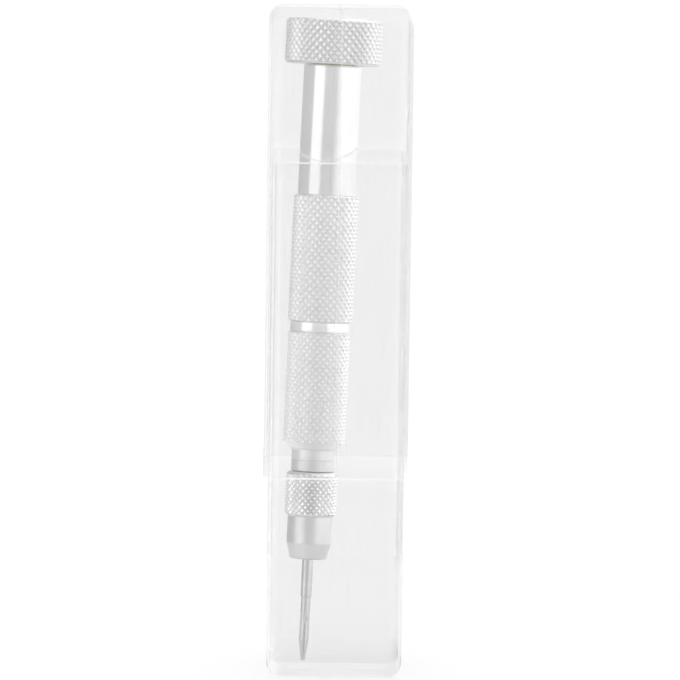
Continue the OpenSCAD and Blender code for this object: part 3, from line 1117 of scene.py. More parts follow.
@dataclass
class MouldedBox(Piece):
    """One half of the case: a thin square box with round edges.

    It is drawn standing on its closed end.
    """

    matrix: Matrix
    half_width: float
    length: float
    wall: float
    floor: float
    edge_radius: float
    end_radius: float
    outer_bands: Sequence[Band] = ()
    inner_bands: Sequence[Band] = ()
    inner_end_radius: float = 1.2
    rim_round: float = 0.16
    gate_radius: float = 1.5
    gate_depth: float = 0.2
    gate_draft: float = 0.1
    seam_proud: float = 0.03
    seam_half_width: float = 0.12
    wrap: float = 3.6
    wrap_fade: float = 0.35
    corner_steps: int = 10
    end_steps: int = 8
    rim_degrees: Sequence[float] = (30, 60, 90)
    least_radius: float = 0.05
    least_gap: float = 0.01
    sharp_degrees: float = 50.0

    def outline(
        self, half: float, radius: float, side_inset: float, seam: float, z: float, skin: Skin
    ) -> Ring:
        """Adds one square ring.

        Args:
            half: Half of the ring's width.
            radius: Radius of its corners.
            side_inset: How far the left and right sides and their corners are drawn in.
            seam: How far the parting line stands proud, front and back.
            z: Height.
            skin: Skin to add to.

        Returns:
            Numbers of its points.
        """
        radius = max(radius, self.least_radius)
        flat = half - radius
        side = half - side_inset
        shrink = max(radius - side_inset, self.least_radius)
        slope = flat + radius - side_inset - shrink
        near = min(flat - self.least_gap, self.half_width - self.wrap)
        fade = near - self.wrap_fade
        arc = [math.pi / 2 * step / self.corner_steps for step in range(self.corner_steps + 1)]
        corners = []
        for quarter in range(4):
            turn = Matrix.Rotation(math.pi / 2 * quarter, 2)
            points = [
                Vector((slope + shrink * math.cos(a), slope + shrink * math.sin(a))) for a in arc
            ]
            corners.append([tuple(turn @ point) for point in points])
        front = [
            (near, side), (fade, half), (self.seam_half_width, half), (0.0, half + seam),
            (-self.seam_half_width, half), (-fade, half), (-near, side),
        ]
        back = [(x, -y) for x, y in reversed(front)]
        ordered = [(side, 0.0), *corners[0], *front, *corners[1]]
        ordered += [(-side, 0.0), *corners[2], *back, *corners[3]]
        return [skin.point(x, y, z) for x, y in ordered]

    def _wall_rings(
        self, skin: Skin, half: float, radius: float, low: float, high: float,
        bands: Sequence[Band], seam: float,
    ) -> list[Ring]:
        """Rings of one straight wall surface, with its bands.

        Args:
            skin: Skin to add to.
            half: Half width of the plain surface.
            radius: Corner radius of the plain surface.
            low: Height of the first ring.
            high: Height of the last ring.
            bands: Bands of this surface, from the closed end up.
            seam: How far the parting line stands proud.

        Returns:
            The rings, from the closed end up.
        """
        levels = [(low, 0.0, 0.0)]
        for band in bands:
            full = band.inset if band.reach is Reach.ALL_ROUND else 0.0
            sides = band.inset if band.reach is Reach.SIDES else 0.0
            levels.append((band.low, 0.0, 0.0))
            levels.append((band.low + band.ramp, full, sides))
            if band.high < high:
                levels.append((band.high - band.ramp, full, sides))
                levels.append((band.high, 0.0, 0.0))
            else:
                levels.append((high, full, sides))
        if levels[-1][0] < high:
            levels.append((high, 0.0, 0.0))
        rings = []
        for z, full, sides in levels:
            proud = seam if low < z < high and full >= 0 else 0.0
            rings.append(self.outline(half - full, radius - full, sides, proud, z, skin))
        return rings

    def build(self) -> bpy.types.Object:
        """Builds the piece.

        Returns:
            The finished object.
        """
        skin = Skin()
        rings: list[Ring] = []
        flat_ring = self._end_rings(skin, self.half_width, self.edge_radius, self.end_radius, 0.0)
        circle = [math.atan2(skin.points[i].y, skin.points[i].x) for i in flat_ring[0]]
        rings.append([skin.point(0.0, 0.0, self.gate_depth)])
        rings.append(skin.ring(self.gate_radius - self.gate_draft, self.gate_depth, circle))
        rings.append(skin.ring(self.gate_radius, 0.0, circle))
        rings += flat_ring
        rim = self.length - self.rim_round
        rings += self._wall_rings(
            skin, self.half_width, self.edge_radius, self.end_radius, rim,
            self.outer_bands, self.seam_proud,
        )[1:]
        rings += self._rim_rings(skin)
        inner_half = self.half_width - self.wall
        inner_radius = self.edge_radius - self.wall
        inner_low = self.floor + self.inner_end_radius
        rings += reversed(self._wall_rings(
            skin, inner_half, inner_radius, inner_low, rim, self.inner_bands, 0.0
        )[1:])
        rings += reversed(self._end_rings(
            skin, inner_half, inner_radius, self.inner_end_radius, self.floor
        ))
        rings.append([skin.point(0.0, 0.0, self.floor)])
        for first, second in zip(rings, rings[1:]):
            skin.bridge(first, second)
        return self.settle(skin.build(self.name, self.matrix, self.sharp_degrees))

    def _end_rings(
        self, skin: Skin, half: float, radius: float, end_radius: float, z: float
    ) -> list[Ring]:
        """Rings of the rounding at a closed end.

        Args:
            skin: Skin to add to.
            half: Half width of the wall that it ends.
            radius: Corner radius of that wall.
            end_radius: Radius of the rounding.
            z: Height of the end's flat.

        Returns:
            The rings, from the flat up.
        """
        rings = []
        for step in range(self.end_steps + 1):
            angle = math.pi / 2 * step / self.end_steps
            inset = end_radius * (1 - math.sin(angle))
            height = z + end_radius * (1 - math.cos(angle))
            rings.append(self.outline(half - inset, radius - inset, 0.0, 0.0, height, skin))
        return rings

    def _rim_rings(self, skin: Skin) -> list[Ring]:
        """Rings of the rounded rim at the open end.

        Args:
            skin: Skin to add to.

        Returns:
            The rings, from outside to inside.
        """
        proud = sum(-b.inset for b in self.outer_bands if b.high >= self.length)
        outer = self.half_width + proud
        inner = self.half_width - self.wall
        corner = self.edge_radius + proud
        rings = []
        for half, lean in ((outer, 1), (inner, -1)):
            for angle in self.rim_degrees[::lean]:
                rise = math.sin(math.radians(angle)) * self.rim_round
                draw = (1 - math.cos(math.radians(angle))) * self.rim_round
                there = half - lean * draw
                rings.append(self.outline(
                    there, corner - (outer - there), 0.0, 0.0,
                    self.length - self.rim_round + rise, skin,
                ))
        return rings


@dataclass
class Case:
    """The telescoping case: cap above, base below."""

    cap_tint: float = 0.97
    base_tint: float = 0.968
    cap_line: float = 0.22
    base_line: float = 0.0
    cap_level_mirror: float = 0.0
    base_level_mirror: float = 1.0
    # Painted lightening: the span round the other half's rim over which the tint clears, and the
    # clear grey where the halves overlap.
    overlap_fade: float = 4.0
    overlap_clear_tint: float = 1.0
    haze: float = 0.032
    bent_share: float = 0.016
    wall_cap: float = 0.5
    wall_base: float = 0.7
    cap_top: float = 0.8
    base_floor: float = 3.0
    cap_edge_radius: float = 3.6
    base_edge_radius: float = 2.8
    end_radius: float = 3.0
    bead_height: float = 3.0
    bead_proud: float = 0.12
    bead_ramp: float = 0.9
    groove_pitch: float = 5.0
    groove_height: float = 0.8
    groove_depth: float = 0.06
    groove_ramp: float = 0.3
    lowest_groove: float = 9.0
    plain_top: float = 15.0
    detent_up: float = 8.0
    detent_height: float = 0.68
    detent_proud: float = 0.15

    def _plastic(
        self, name: str, single_wall_z: float, overlap_z: float, rim_z: float, tint: float, line: float,
        level_mirror: float,
    ) -> Finish:
        """Plastic of one half, greyer towards its closed end and painted clearer where the other
        half overlaps it, to offset the darker double wall.

        Args:
            name: Material name.
            single_wall_z: Height up to which the plain grey holds.
            overlap_z: Height from which the overlap is painted clear.
            rim_z: Height of the open end's rim.
            tint: Grey where the other half does not overlap.
            line: Haze of the moulding line, front and back.
            level_mirror: How much of the slanting mirror level faces keep.

        Returns:
            The finish.
        """
        return HazyPlastic(
            name=name, single_wall_to_z=single_wall_z * MM, overlap_from_z=overlap_z * MM, rim_z=rim_z * MM,
            single_wall_tint=tint, overlap_tint=self.overlap_clear_tint, haze=self.haze,
            bent_share=self.bent_share, line_haze=line, level_mirror=level_mirror,
        )

    def build(self) -> list[bpy.types.Object]:
        """Builds both halves.

        Returns:
            The cap and the base.
        """
        cap_low, cap_high = (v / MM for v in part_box("case_cap"))
        base_low, base_high = (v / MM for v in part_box("case_base"))
        cap_plastic = self._plastic(
            "clear_plastic_cap", base_high.z + self.overlap_fade, base_high.z - self.overlap_fade,
            cap_low.z, self.cap_tint, self.cap_line, self.cap_level_mirror,
        )
        base_plastic = self._plastic(
            "clear_plastic_base", cap_low.z - self.overlap_fade, cap_low.z + self.overlap_fade,
            base_high.z, self.base_tint, self.base_line, self.base_level_mirror,
        )
        detent_z = cap_low.z + self.detent_up
        flip = Matrix.Translation((0.0, 0.0, cap_high.z * MM)) @ Matrix.Rotation(math.pi, 4, "X")
        cap_length = cap_high.z - cap_low.z
        bead = Band(
            cap_length - self.bead_height, cap_length, -self.bead_proud, Reach.ALL_ROUND,
            self.bead_ramp,
        )
        detent_low = cap_length - self.detent_up - self.detent_height / 2
        detent = Band(
            detent_low, detent_low + self.detent_height, self.detent_proud, Reach.SIDES
        )
        cap = MouldedBox(
            name="case_cap_shell", node="case_cap", body="case_cap", slot=Slot.CLEAR_PLASTIC,
            finish=cap_plastic, matrix=flip @ Matrix.Scale(MM, 4),
            half_width=(cap_high.x - cap_low.x) / 2 - self.bead_proud, length=cap_length,
            wall=self.wall_cap, floor=self.cap_top, edge_radius=self.cap_edge_radius,
            end_radius=self.end_radius, outer_bands=(bead,), inner_bands=(detent,),
        )
        middle = (base_low.x + base_high.x) / 2
        base = MouldedBox(
            name="case_base_shell", node="case_base", body="case_base", slot=Slot.CLEAR_PLASTIC,
            finish=base_plastic,
            matrix=Matrix.Translation((middle * MM, 0.0, 0.0)) @ Matrix.Scale(MM, 4),
            half_width=(base_high.x - base_low.x) / 2, length=base_high.z,
            wall=self.wall_base, floor=self.base_floor, edge_radius=self.base_edge_radius,
            end_radius=self.end_radius, outer_bands=self._grooves(detent_z, base_high.z),
            gate_depth=0.0,
        )
        return [cap.build(), base.build()]

    def _grooves(self, detent_z: float, length: float) -> list[Band]:
        """Ratchet grooves of the base.

        Args:
            detent_z: Height of the cap's detents, which a groove lies level with.
            length: Length of the base.

        Returns:
            The grooves, from the foot up.
        """
        first = math.ceil((self.lowest_groove - detent_z) / self.groove_pitch)
        last = math.floor((length - self.plain_top - detent_z) / self.groove_pitch)
        half = self.groove_height / 2
        places = [detent_z + row * self.groove_pitch for row in range(first, last + 1)]
        return [
            Band(z - half, z + half, self.groove_depth, Reach.SIDES, self.groove_ramp)
            for z in places
        ]


@dataclass
class Handle:
    """Swivel head, neck cap, the two knurled barrels and the band between them."""

    axis: Axis
    polished: Finish
    bright: Finish
    # Knurling and its metal
    fine_pitch: float = 1.4
    coarse_pitch: float = 1.5
    knurl_depth: float = 0.3
    flat_share: float = 0.32
    head_roughness: float = 0.24
    grip_roughness: float = 0.28
    head_grey: float = 0.82
    rear_grey: float = 0.9
    front_grey: float = 0.94
    shade_share: float = 0.82
    taper_share: float = 5.0
    # How much darker the plain ferrule is drawn.
    ferrule_darkening: float = 0.9
    metallic: float = 0.75
    # Ends of the knurled bands
    edge: float = 0.25
    gap: float = 0.05
    lip_depth: float = 0.15
    lip_height: float = 0.1
    # Swivel head and its disc
    head_chamfer: float = 0.45
    head_slope_share: float = 0.7
    head_round: float = 0.25
    seat_round: float = 0.12
    head_web: float = 4.0
    head_hole: float = 1.56
    disc_gap: float = 0.02
    pin_gap: float = 0.2
    washer_gap: float = 0.12
    dish_rim: float = 0.9
    dish_slope: float = 1.5
    dish_depth: float = 0.2
    dish_round: float = 0.3
    disc_round: float = 0.08
    # Neck cap
    spigot: float = 4.84
    ring_groove: float = 0.65
    neck_bore: float = 3.5
    neck_hole: float = 1.5
    neck_segments: int = 192
    spigot_round: float = 0.15
    neck_foot_round: float = 0.2
    neck_top_round: float = 0.1
    # Barrels and the band between them
    barrel_bore: float = 4.9
    band_round: float = 0.3
    front_radius: float = 6.1
    front_spigot: float = 4.88
    front_spigot_round: float = 0.2
    store_seat: float = 3.37
    store_depth: float = 0.3
    stem_hole: float = 3.02
    stem_gap: float = 0.3
    ferrule_radius: float = 4.25
    ferrule_height: float = 2.0
    ferrule_foot_round: float = 0.12
    ferrule_top_round: float = 0.1
    taper_height: float = 1.6
    taper_step: float = 0.35

    def _nickel(
        self, name: str, radius: float, roughness: float, tone: float, plain_darkening: float = 0.0
    ) -> TurnedMetal:
        """Knurled nickel for one radius.

        Args:
            name: Material name.
            radius: Outer radius of the knurling.
            roughness: Surface roughness.
            tone: Grey of the clean metal.
            plain_darkening: How much darker the plain part below the knurling is drawn.

        Returns:
            The finish.
        """
        shade = tone * self.shade_share
        return TurnedMetal(
            name=name, axis=self.axis, light=(tone, tone, tone), dark=(shade, shade, shade),
            roughness=roughness, metallic=self.metallic, knurl_radius=radius,
            knurl_depth=self.knurl_depth, plain_darkening=plain_darkening,
            plain_from_share=self.taper_share,
        )

    def _knurl(self, radius: float, low: float, high: float, pitch: float) -> Knurl:
        """Knurling of the handle.

        Args:
            radius: Outer radius.
            low: Lower end.
            high: Upper end.
            pitch: Width of a diamond.

        Returns:
            The knurling.
        """
        columns = round(2 * math.pi * radius / pitch)
        rows = max(1, round((high - low) / pitch))
        return Knurl(radius, low, high, columns, rows, self.knurl_depth, self.flat_share)

    def build(self) -> list[bpy.types.Object]:
        """Builds the pieces."""
        return [
            self._head(), self._disc(), self._neck(), self._rear(), self._band(), self._front()
        ]

    def _head(self) -> bpy.types.Object:
        """Builds the knurled swivel head, with its seats for disc, pin and washer.

        Returns:
            The finished object.
        """
        span = self.axis.span("swivel_head")
        disc = self.axis.span("head_disc")
        washer = self.axis.span("thrust_washer")
        pin = self.axis.span("swivel_pin")
        r, chamfer = span.radius, self.head_chamfer
        valley, slope = r - self.knurl_depth, chamfer * self.head_slope_share
        disc_seat = disc.radius + self.disc_gap
        pin_seat = pin.radius + self.pin_gap
        washer_seat, ceiling = washer.radius + self.washer_gap, washer.high + self.gap
        web_top = ceiling + self.head_web
        corners = [
            (valley, span.high - slope), (r - chamfer, span.high, self.head_round),
            (disc_seat, span.high, self.seat_round), (disc_seat, disc.low),
            (pin_seat, disc.low), (pin_seat, web_top), (self.head_hole, web_top),
            (self.head_hole, ceiling), (washer_seat, ceiling), (washer_seat, span.low),
            (r - chamfer, span.low, self.head_round), (valley, span.low + slope),
        ]
        knurl = self._knurl(r, span.low + chamfer, span.high - chamfer, self.coarse_pitch)
        return KnurledPiece(
            name="swivel_head_knurled", node="swivel_head", body="swivel_head",
            slot=Slot.KNURLED_NICKEL, axis=self.axis, knurl=knurl, corners=corners,
            finish=self._nickel("nickel_head", r, self.head_roughness, self.head_grey),
        ).build()

    def _disc(self) -> bpy.types.Object:
        """Builds the dished cover disc of the head.

        Returns:
            The finished object.
        """
        span = self.axis.span("head_disc")
        r, dish = span.radius, span.high - self.dish_depth
        corners = [
            (0.0, span.low), (r, span.low), (r, span.high, self.disc_round),
            (r - self.dish_rim, span.high, self.dish_round),
            (r - self.dish_slope, dish, self.dish_round), (0.0, dish),
        ]
        return TurnedPiece(
            name="head_disc_dished", node="head_disc", body="swivel_head",
            slot=Slot.POLISHED_NICKEL, finish=self.polished, axis=self.axis, corners=corners,
        ).build()

    def _neck(self) -> bpy.types.Object:
        """Builds the polished neck, with its spigot, ring groove and end wall.

        Returns:
            The finished object.
        """
        span = self.axis.span("neck_cap")
        ring = self.axis.span("cap_o_ring")
        barrel = self.axis.span("rear_barrel")
        clip = self.axis.span("retaining_clip")
        seat, hollow = barrel.high + self.gap, clip.high + self.gap
        groove = self.spigot - self.ring_groove
        low, high = ring.low - self.gap, ring.high + self.gap
        corners = [
            (self.neck_bore, span.low), (self.spigot, span.low, self.spigot_round),
            (self.spigot, low), (groove, low), (groove, high), (self.spigot, high),
            (self.spigot, seat), (span.radius, seat, self.neck_foot_round),
            (span.radius, span.high, self.neck_top_round), (self.neck_hole, span.high),
            (self.neck_hole, hollow), (self.neck_bore, hollow),
        ]
        return TurnedPiece(
            name="neck_cap_polished", node="neck_cap", body="neck_cap",
            slot=Slot.POLISHED_NICKEL, finish=self.polished, axis=self.axis,
            corners=corners, segments=self.neck_segments,
        ).build()

    def _rear(self) -> bpy.types.Object:
        """Builds the rear knurled barrel.

        Returns:
            The finished object.
        """
        span = self.axis.span("rear_barrel")
        r, bore = span.radius, self.barrel_bore
        valley = r - self.knurl_depth
        lip = valley - self.lip_depth
        corners = [
            (valley, span.high - self.lip_height), (lip, span.high), (bore, span.high),
            (bore, span.low), (lip, span.low), (valley, span.low + self.lip_height),
        ]
        knurl = self._knurl(r, span.low + self.edge, span.high - self.edge, self.coarse_pitch)
        return KnurledPiece(
            name="rear_barrel_knurled", node="rear_barrel", body="screwdriver",
            slot=Slot.KNURLED_NICKEL, axis=self.axis, knurl=knurl, corners=corners,
            finish=self._nickel("nickel_rear", r, self.grip_roughness, self.rear_grey),
        ).build()

    def _band(self) -> bpy.types.Object:
        """Builds the polished band between the barrels.

        Returns:
            The finished object.
        """
        span = self.axis.span("band_ring")
        corners = [
            (self.barrel_bore, span.low), (span.radius, span.low, self.band_round),
            (span.radius, span.high, self.band_round), (self.barrel_bore, span.high),
        ]
        return TurnedPiece(
            name="band_ring_polished", node="band_ring", body="screwdriver",
            slot=Slot.POLISHED_NICKEL, finish=self.bright, axis=self.axis, corners=corners,
        ).build()

    def _front(self) -> bpy.types.Object:
        """Builds the front knurled barrel, with its taper and plain ferrule.

        Returns:
            The finished object.
        """
        span = self.axis.span("front_barrel")
        band = self.axis.span("band_ring")
        body = self.axis.span("chuck_body")
        r = self.front_radius
        valley = r - self.knurl_depth
        lip = valley - self.lip_depth
        taper_low = span.low + self.ferrule_height
        knurl_low = taper_low + self.taper_height
        store_floor = span.high - self.store_depth
        stem_top = body.high + self.stem_gap
        corners = [
            (valley, band.low - self.lip_height), (lip, band.low), (self.front_spigot, band.low),
            (self.front_spigot, span.high, self.front_spigot_round),
            (self.store_seat, span.high), (self.store_seat, store_floor),
            (0.0, store_floor), (0.0, stem_top), (self.stem_hole, stem_top),
            (self.stem_hole, span.low),
            (self.ferrule_radius, span.low, self.ferrule_foot_round),
            (self.ferrule_radius, taper_low, self.ferrule_top_round),
            (r - self.taper_step, knurl_low - self.lip_height),
        ]
        knurl = self._knurl(r, knurl_low, band.low - self.edge, self.fine_pitch)
        return KnurledPiece(
            name="front_barrel_knurled", node="front_barrel", body="screwdriver",
            slot=Slot.KNURLED_NICKEL, axis=self.axis, knurl=knurl, corners=corners,
            finish=self._nickel(
                "nickel_front", r, self.grip_roughness, self.front_grey, self.ferrule_darkening
            ),
        ).build()


@dataclass
class Chuck:
    """Chuck body, knurled nut with its nose, and the driver bit."""

    axis: Axis
    satin: Finish
    steel: Finish
    # Knurling
    knurl_pitch: float = 1.25
    knurl_rows: int = 6
    knurl_depth: float = 0.3
    # Chuck body
    shoulder: float = 4.25
    shoulder_round: float = 0.12
    stem: float = 3.0
    stem_round: float = 0.2
    bore: float = 2.36
    stop_gap: float = 0.02
    collet_gap: float = 0.3
    thread_radius: float = 3.3
    thread_pitch: float = 0.5
    thread_depth: float = 0.12
    thread_lead: float = 0.2
    # Nut, outside and inside
    nose_height: float = 8.4
    nose_radius: float = 4.4
    nose_taper: float = 3.2
    nose_tip: float = 3.6
    nose_tip_round: float = 0.7
    nose_top_round: float = 0.8
    collar_round: float = 0.15
    chamfer: float = 0.6
    slope_share: float = 0.6
    nut_bore: float = 3.36
    cone_low: float = 1.4
    cone_high: float = 5.9
    cone_step: float = 0.2
    cone_radius: float = 2.0
    mouth: float = 1.5
    # Metal of the nut
    collar_light: tuple[float, float, float] = (0.95, 0.95, 0.955)
    collar_dark: tuple[float, float, float] = (0.45, 0.45, 0.46)
    collar_roughness: float = 0.14
    # Strength of the painted shade in the knurl valleys.
    valley_shade: float = 0.3
    # How much darker the plain nose is drawn.
    nose_darkening: float = 0.34
    nose_roughness: float = 0.18

    def build(self) -> list[bpy.types.Object]:
        """Builds the pieces."""
        return [self._body(), self._nut(), self._bit()]

    def _body(self) -> bpy.types.Object:
        """Builds the threaded chuck body, with its smooth shoulder.

        Returns:
            The finished object.
        """
        span = self.axis.span("chuck_body")
        barrel = self.axis.span("front_barrel")
        nut = self.axis.span("chuck_nut")
        stop = self.axis.span("bit_stop")
        collet = self.axis.span("collet")
        pocket, step = stop.radius + self.stop_gap, collet.high + self.collet_gap
        lead = self.thread_lead
        corners = [
            (self.bore, span.low), *self._thread(span.low + lead, nut.high + lead / 2),
            (self.shoulder, nut.high + lead, self.shoulder_round),
            (self.shoulder, barrel.low, self.shoulder_round), (self.stem, barrel.low),
            (self.stem, span.high, self.stem_round), (0.0, span.high), (0.0, stop.high),
            (pocket, stop.high), (pocket, step), (self.bore, step),
        ]
        return TurnedPiece(
            name="chuck_body_turned", node="chuck_body", body="screwdriver",
            slot=Slot.SATIN_NICKEL, finish=self.satin, axis=self.axis, corners=corners,
        ).build()

    def _thread(self, low: float, high: float) -> list[tuple[float, float]]:
        """Rings that show a fine thread.

        Args:
            low: Lower end.
            high: Upper end.

        Returns:
            Outline points from low to high.
        """
        crest, pitch = self.thread_radius, self.thread_pitch
        root = crest - self.thread_depth
        count = int((high - low) / pitch)
        points = []
        for turn in range(count):
            points.append((root, low + turn * pitch))
            points.append((crest, low + (turn + 0.5) * pitch))
        points.append((root, low + count * pitch))
        return points

    def _nut(self) -> bpy.types.Object:
        """Builds the knurled collar, with the tapered nose that closes the collet.

        Returns:
            The finished object.
        """
        span = self.axis.span("chuck_nut")
        r = span.radius
        valley, slope = r - self.knurl_depth, self.chamfer * self.slope_share
        edge = r - self.chamfer
        collar_low = span.low + self.nose_height
        cone_low, cone_high = span.low + self.cone_low, span.low + self.cone_high
        corners = [
            (valley, span.high - slope), (edge, span.high, self.collar_round),
            (self.nut_bore, span.high), (self.nut_bore, cone_high),
            (self.nut_bore - self.cone_step, cone_high), (self.cone_radius, cone_low),
            (self.mouth, cone_low), (self.mouth, span.low),
            (self.nose_tip, span.low, self.nose_tip_round),
            (self.nose_radius, span.low + self.nose_taper, self.nose_top_round),
            (self.nose_radius, collar_low), (edge, collar_low, self.collar_round),
            (valley, collar_low + slope),
        ]
        columns = round(2 * math.pi * r / self.knurl_pitch)
        low, high = collar_low + self.chamfer, span.high - self.chamfer
        knurl = Knurl(r, low, high, columns, self.knurl_rows, self.knurl_depth)
        finish = TurnedMetal(
            name="nickel_collar", axis=self.axis, light=self.collar_light,
            dark=self.collar_dark, roughness=self.collar_roughness, knurl_radius=r,
            knurl_depth=self.knurl_depth, valley_shade=self.valley_shade,
            plain_darkening=self.nose_darkening, plain_roughness=self.nose_roughness,
        )
        return KnurledPiece(
            name="chuck_nut_knurled", node="chuck_nut", body="chuck_nut",
            slot=Slot.KNURLED_NICKEL, finish=finish, axis=self.axis, knurl=knurl,
            corners=corners,
        ).build()

    def _bit(self) -> bpy.types.Object:
        """Builds the driver bit."""
        span = self.axis.span("driver_bit")
        return FlutedBit(
            name="driver_bit_fluted", node="driver_bit", body="driver_bit",
            slot=Slot.TOOL_STEEL, finish=self.steel, axis=self.axis,
            shank_radius=span.radius, length=span.high,
        ).build()


@dataclass
class HiddenParts:
    """Pieces inside the tool that keep their construction shape and get their finish."""

    axis: Axis

    def dress(self, nodes: dict[str, bpy.types.Object]) -> None:
        """Gives each kept node its finish.

        Args:
            nodes: Construction nodes by name.
        """
        spring = TurnedMetal(
            name="spring_steel", axis=self.axis, light=(0.36, 0.36, 0.38),
            dark=(0.2, 0.2, 0.22), roughness=0.35,
        )
        brass = TurnedMetal(
            name="brass", axis=self.axis, light=(0.83, 0.66, 0.33), dark=(0.55, 0.4, 0.18),
            roughness=0.3,
        )
        steel = TurnedMetal(
            name="spare_bit_steel", axis=self.axis, light=(0.55, 0.55, 0.57),
            dark=(0.32, 0.32, 0.34), roughness=0.26,
        )
        magnet = TurnedMetal(
            name="magnet", axis=self.axis, light=(0.6, 0.6, 0.62), dark=(0.4, 0.4, 0.42),
            roughness=0.2,
        )
        rubber = Matter(
            name="rubber", light=(0.05, 0.05, 0.05), dark=(0.02, 0.02, 0.02), roughness=0.6,
            grain_scale=3000.0, grain_depth=0.004,
        )
        felt = Matter(
            name="felt", light=(0.55, 0.55, 0.52), dark=(0.3, 0.3, 0.28), roughness=0.95,
            grain_scale=6000.0, grain_depth=0.05,
        )
        carrier = Matter(
            name="carrier_plastic", light=(0.07, 0.07, 0.08), dark=(0.03, 0.03, 0.035),
            roughness=0.45, grain_scale=5000.0, grain_depth=0.004,
        )
        finishes = {
            "swivel_pin": spring, "retaining_clip": spring, "collet": spring,
            "thrust_washer": brass, "cap_o_ring": rubber, "rattle_pad": felt,
            "bit_magazine": carrier, "spare_slot_bit_small": steel,
            "spare_slot_bit_large": steel, "spare_cross_bit": steel, "bit_stop": magnet,
        }
        for name, finish in finishes.items():
            mesh = nodes[name].data
            mesh.materials.clear()
            mesh.materials.append(finish.material())
            LOG.info("%s: %s", name, finish.name)


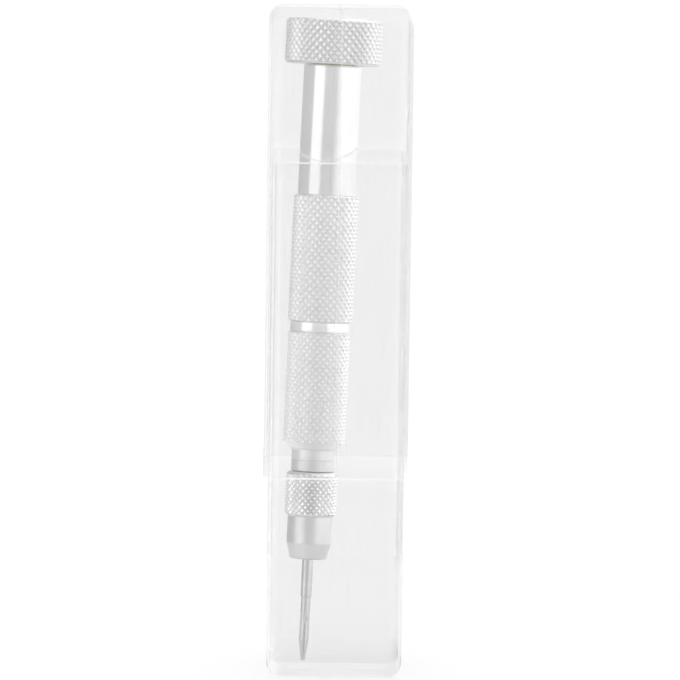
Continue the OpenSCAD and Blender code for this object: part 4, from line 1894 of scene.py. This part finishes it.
@dataclass
class Studio:
    """White floor, soft surround and the camera at the photograph's viewing angle."""

    target_height: float = 0.066
    distance: float = 1.031
    depression: float = math.radians(8.2)
    swing: float = math.radians(-0.85)
    roll: float = math.radians(0.79)
    focal_px: float = 5231.0
    middle_x_px: float = 336.8
    middle_y_px: float = 337.3
    sensor_width: float = 36.0
    nearest: float = 0.01
    farthest: float = 30.0
    floor_radius: float = 0.12
    floor_drop: float = 0.00015
    floor_segments: int = 96
    floor_grey: float = 0.3
    floor_lift: float = 0.006
    backdrop_light: float = 1.03
    fill_light: float = 1.45
    panel_light: float = 1.65
    overhead_gain: float = 0.35

    def build(self) -> None:
        """Builds floor, surround and camera."""
        self._floor()
        self._surround()
        self._camera()

    def _floor(self) -> None:
        """Plain pale floor, round, just under the case's foot."""
        skin = Skin()
        around = even_angles(self.floor_segments)
        middle = [skin.point(0.0, 0.0, -self.floor_drop)]
        skin.bridge(middle, skin.ring(self.floor_radius, -self.floor_drop, around))
        floor = skin.build("floor", Matrix.Identity(4))
        made = bpy.data.materials.new("studio_floor")
        made.use_nodes = True
        sheet = Sheet(made.node_tree, "ShaderNodeOutputMaterial")
        lit = self.backdrop_light - self.fill_light * self.floor_grey + self.floor_lift
        sheet.finish(sheet.surface({
            "Base Color": grey(self.floor_grey),
            "Roughness": 1.0,
            "Specular IOR Level": 0.0,
            "Emission Color": grey(1.0),
            "Emission Strength": lit,
        }))
        floor.data.materials.append(made)

    def _surround(self) -> None:
        """White surround that shows its darker parts only in reflections."""
        world = bpy.data.worlds.new("studio")
        bpy.context.scene.world = world
        world.use_nodes = True
        sheet = Sheet(world.node_tree, "ShaderNodeOutputWorld")
        place = sheet.add("ShaderNodeTexCoord", output="Generated")
        around = sheet.add("ShaderNodeTexGradient", {"gradient_type": "RADIAL"}, {"Vector": place})
        stops = self._panel_stops()
        panels = sheet.add("ShaderNodeValToRGB", {"stops": stops}, {"Fac": around})
        in_gloss = sheet.add("ShaderNodeLightPath", output="Glossy Depth").over(0.5)
        scattered = sheet.add("ShaderNodeLightPath", output="Diffuse Depth").over(0.5)
        direct = (1 - scattered) * self.backdrop_light + scattered * self.fill_light
        overhead = sheet.reach(place, UP) * self.overhead_gain + 1.0
        strength = in_gloss * (panels * overhead * self.panel_light) + (1 - in_gloss) * direct
        inputs = {"Color": grey(1.0), "Strength": strength}
        sheet.finish(sheet.add("ShaderNodeBackground", {}, inputs))

    @staticmethod
    def _panel_stops() -> list[tuple[float, float]]:
        """Greys round the surround, from -X through -Y, +X and +Y back to -X."""
        return [
            (0.0, 0.44), (0.03, 0.46), (0.05, 0.82), (0.15, 0.82), (0.18, 0.47), (0.3, 0.47),
            (0.38, 0.86), (0.6, 0.86), (0.7, 0.82), (0.76, 0.5), (0.82, 0.4), (1.0, 0.44),
        ]

    def _camera(self) -> None:
        """Camera of the photograph."""
        data = bpy.data.cameras.new("photo_camera")
        camera = bpy.data.objects.new("photo_camera", data)
        bpy.context.scene.collection.objects.link(camera)
        flat = math.cos(self.depression)
        back = Vector((
            math.sin(self.swing) * flat, -math.cos(self.swing) * flat, math.sin(self.depression)
        ))
        camera.location = Vector((0.0, 0.0, self.target_height)) + back * self.distance
        look = (-back).to_track_quat("-Z", "Y").to_matrix().to_4x4()
        camera.rotation_euler = (look @ Matrix.Rotation(self.roll, 4, "Z")).to_euler()
        data.sensor_width = self.sensor_width
        data.lens = self.focal_px / PHOTO_SIDE_PX * self.sensor_width
        centre = PHOTO_SIDE_PX / 2
        data.shift_x = (centre - self.middle_x_px) / PHOTO_SIDE_PX
        data.shift_y = (self.middle_y_px - centre) / PHOTO_SIDE_PX
        data.clip_start, data.clip_end = self.nearest, self.farthest
        bpy.context.scene.camera = camera
        bpy.context.scene.view_settings.view_transform = "Standard"


def main() -> None:
    """Dresses the frame, piece by piece."""
    logging.basicConfig(level=logging.INFO, format="%(message)s")
    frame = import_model()
    axis = Axis.from_frame(frame)
    polished = TurnedMetal(
        name="polished_nickel", axis=axis, light=(0.87, 0.87, 0.875), dark=(0.79, 0.79, 0.8),
        roughness=0.06, mark_depth=0.0004,
    )
    bright = TurnedMetal(
        name="nickel_band", axis=axis, light=(0.98, 0.98, 0.98), dark=(0.93, 0.93, 0.93),
        roughness=0.1, mark_depth=0.0004,
    )
    satin = TurnedMetal(
        name="satin_nickel", axis=axis, light=(0.74, 0.74, 0.75), dark=(0.64, 0.64, 0.65),
        roughness=0.36,
    )
    steel = TurnedMetal(
        name="tool_steel", axis=axis, light=(0.66, 0.66, 0.67), dark=(0.48, 0.48, 0.5),
        roughness=0.22,
    )
    Studio().build()
    Case().build()
    Handle(axis=axis, polished=polished, bright=bright).build()
    Chuck(axis=axis, satin=satin, steel=steel).build()
    HiddenParts(axis=axis).dress(frame["nodes"])


if __name__ == "__main__":
    main()
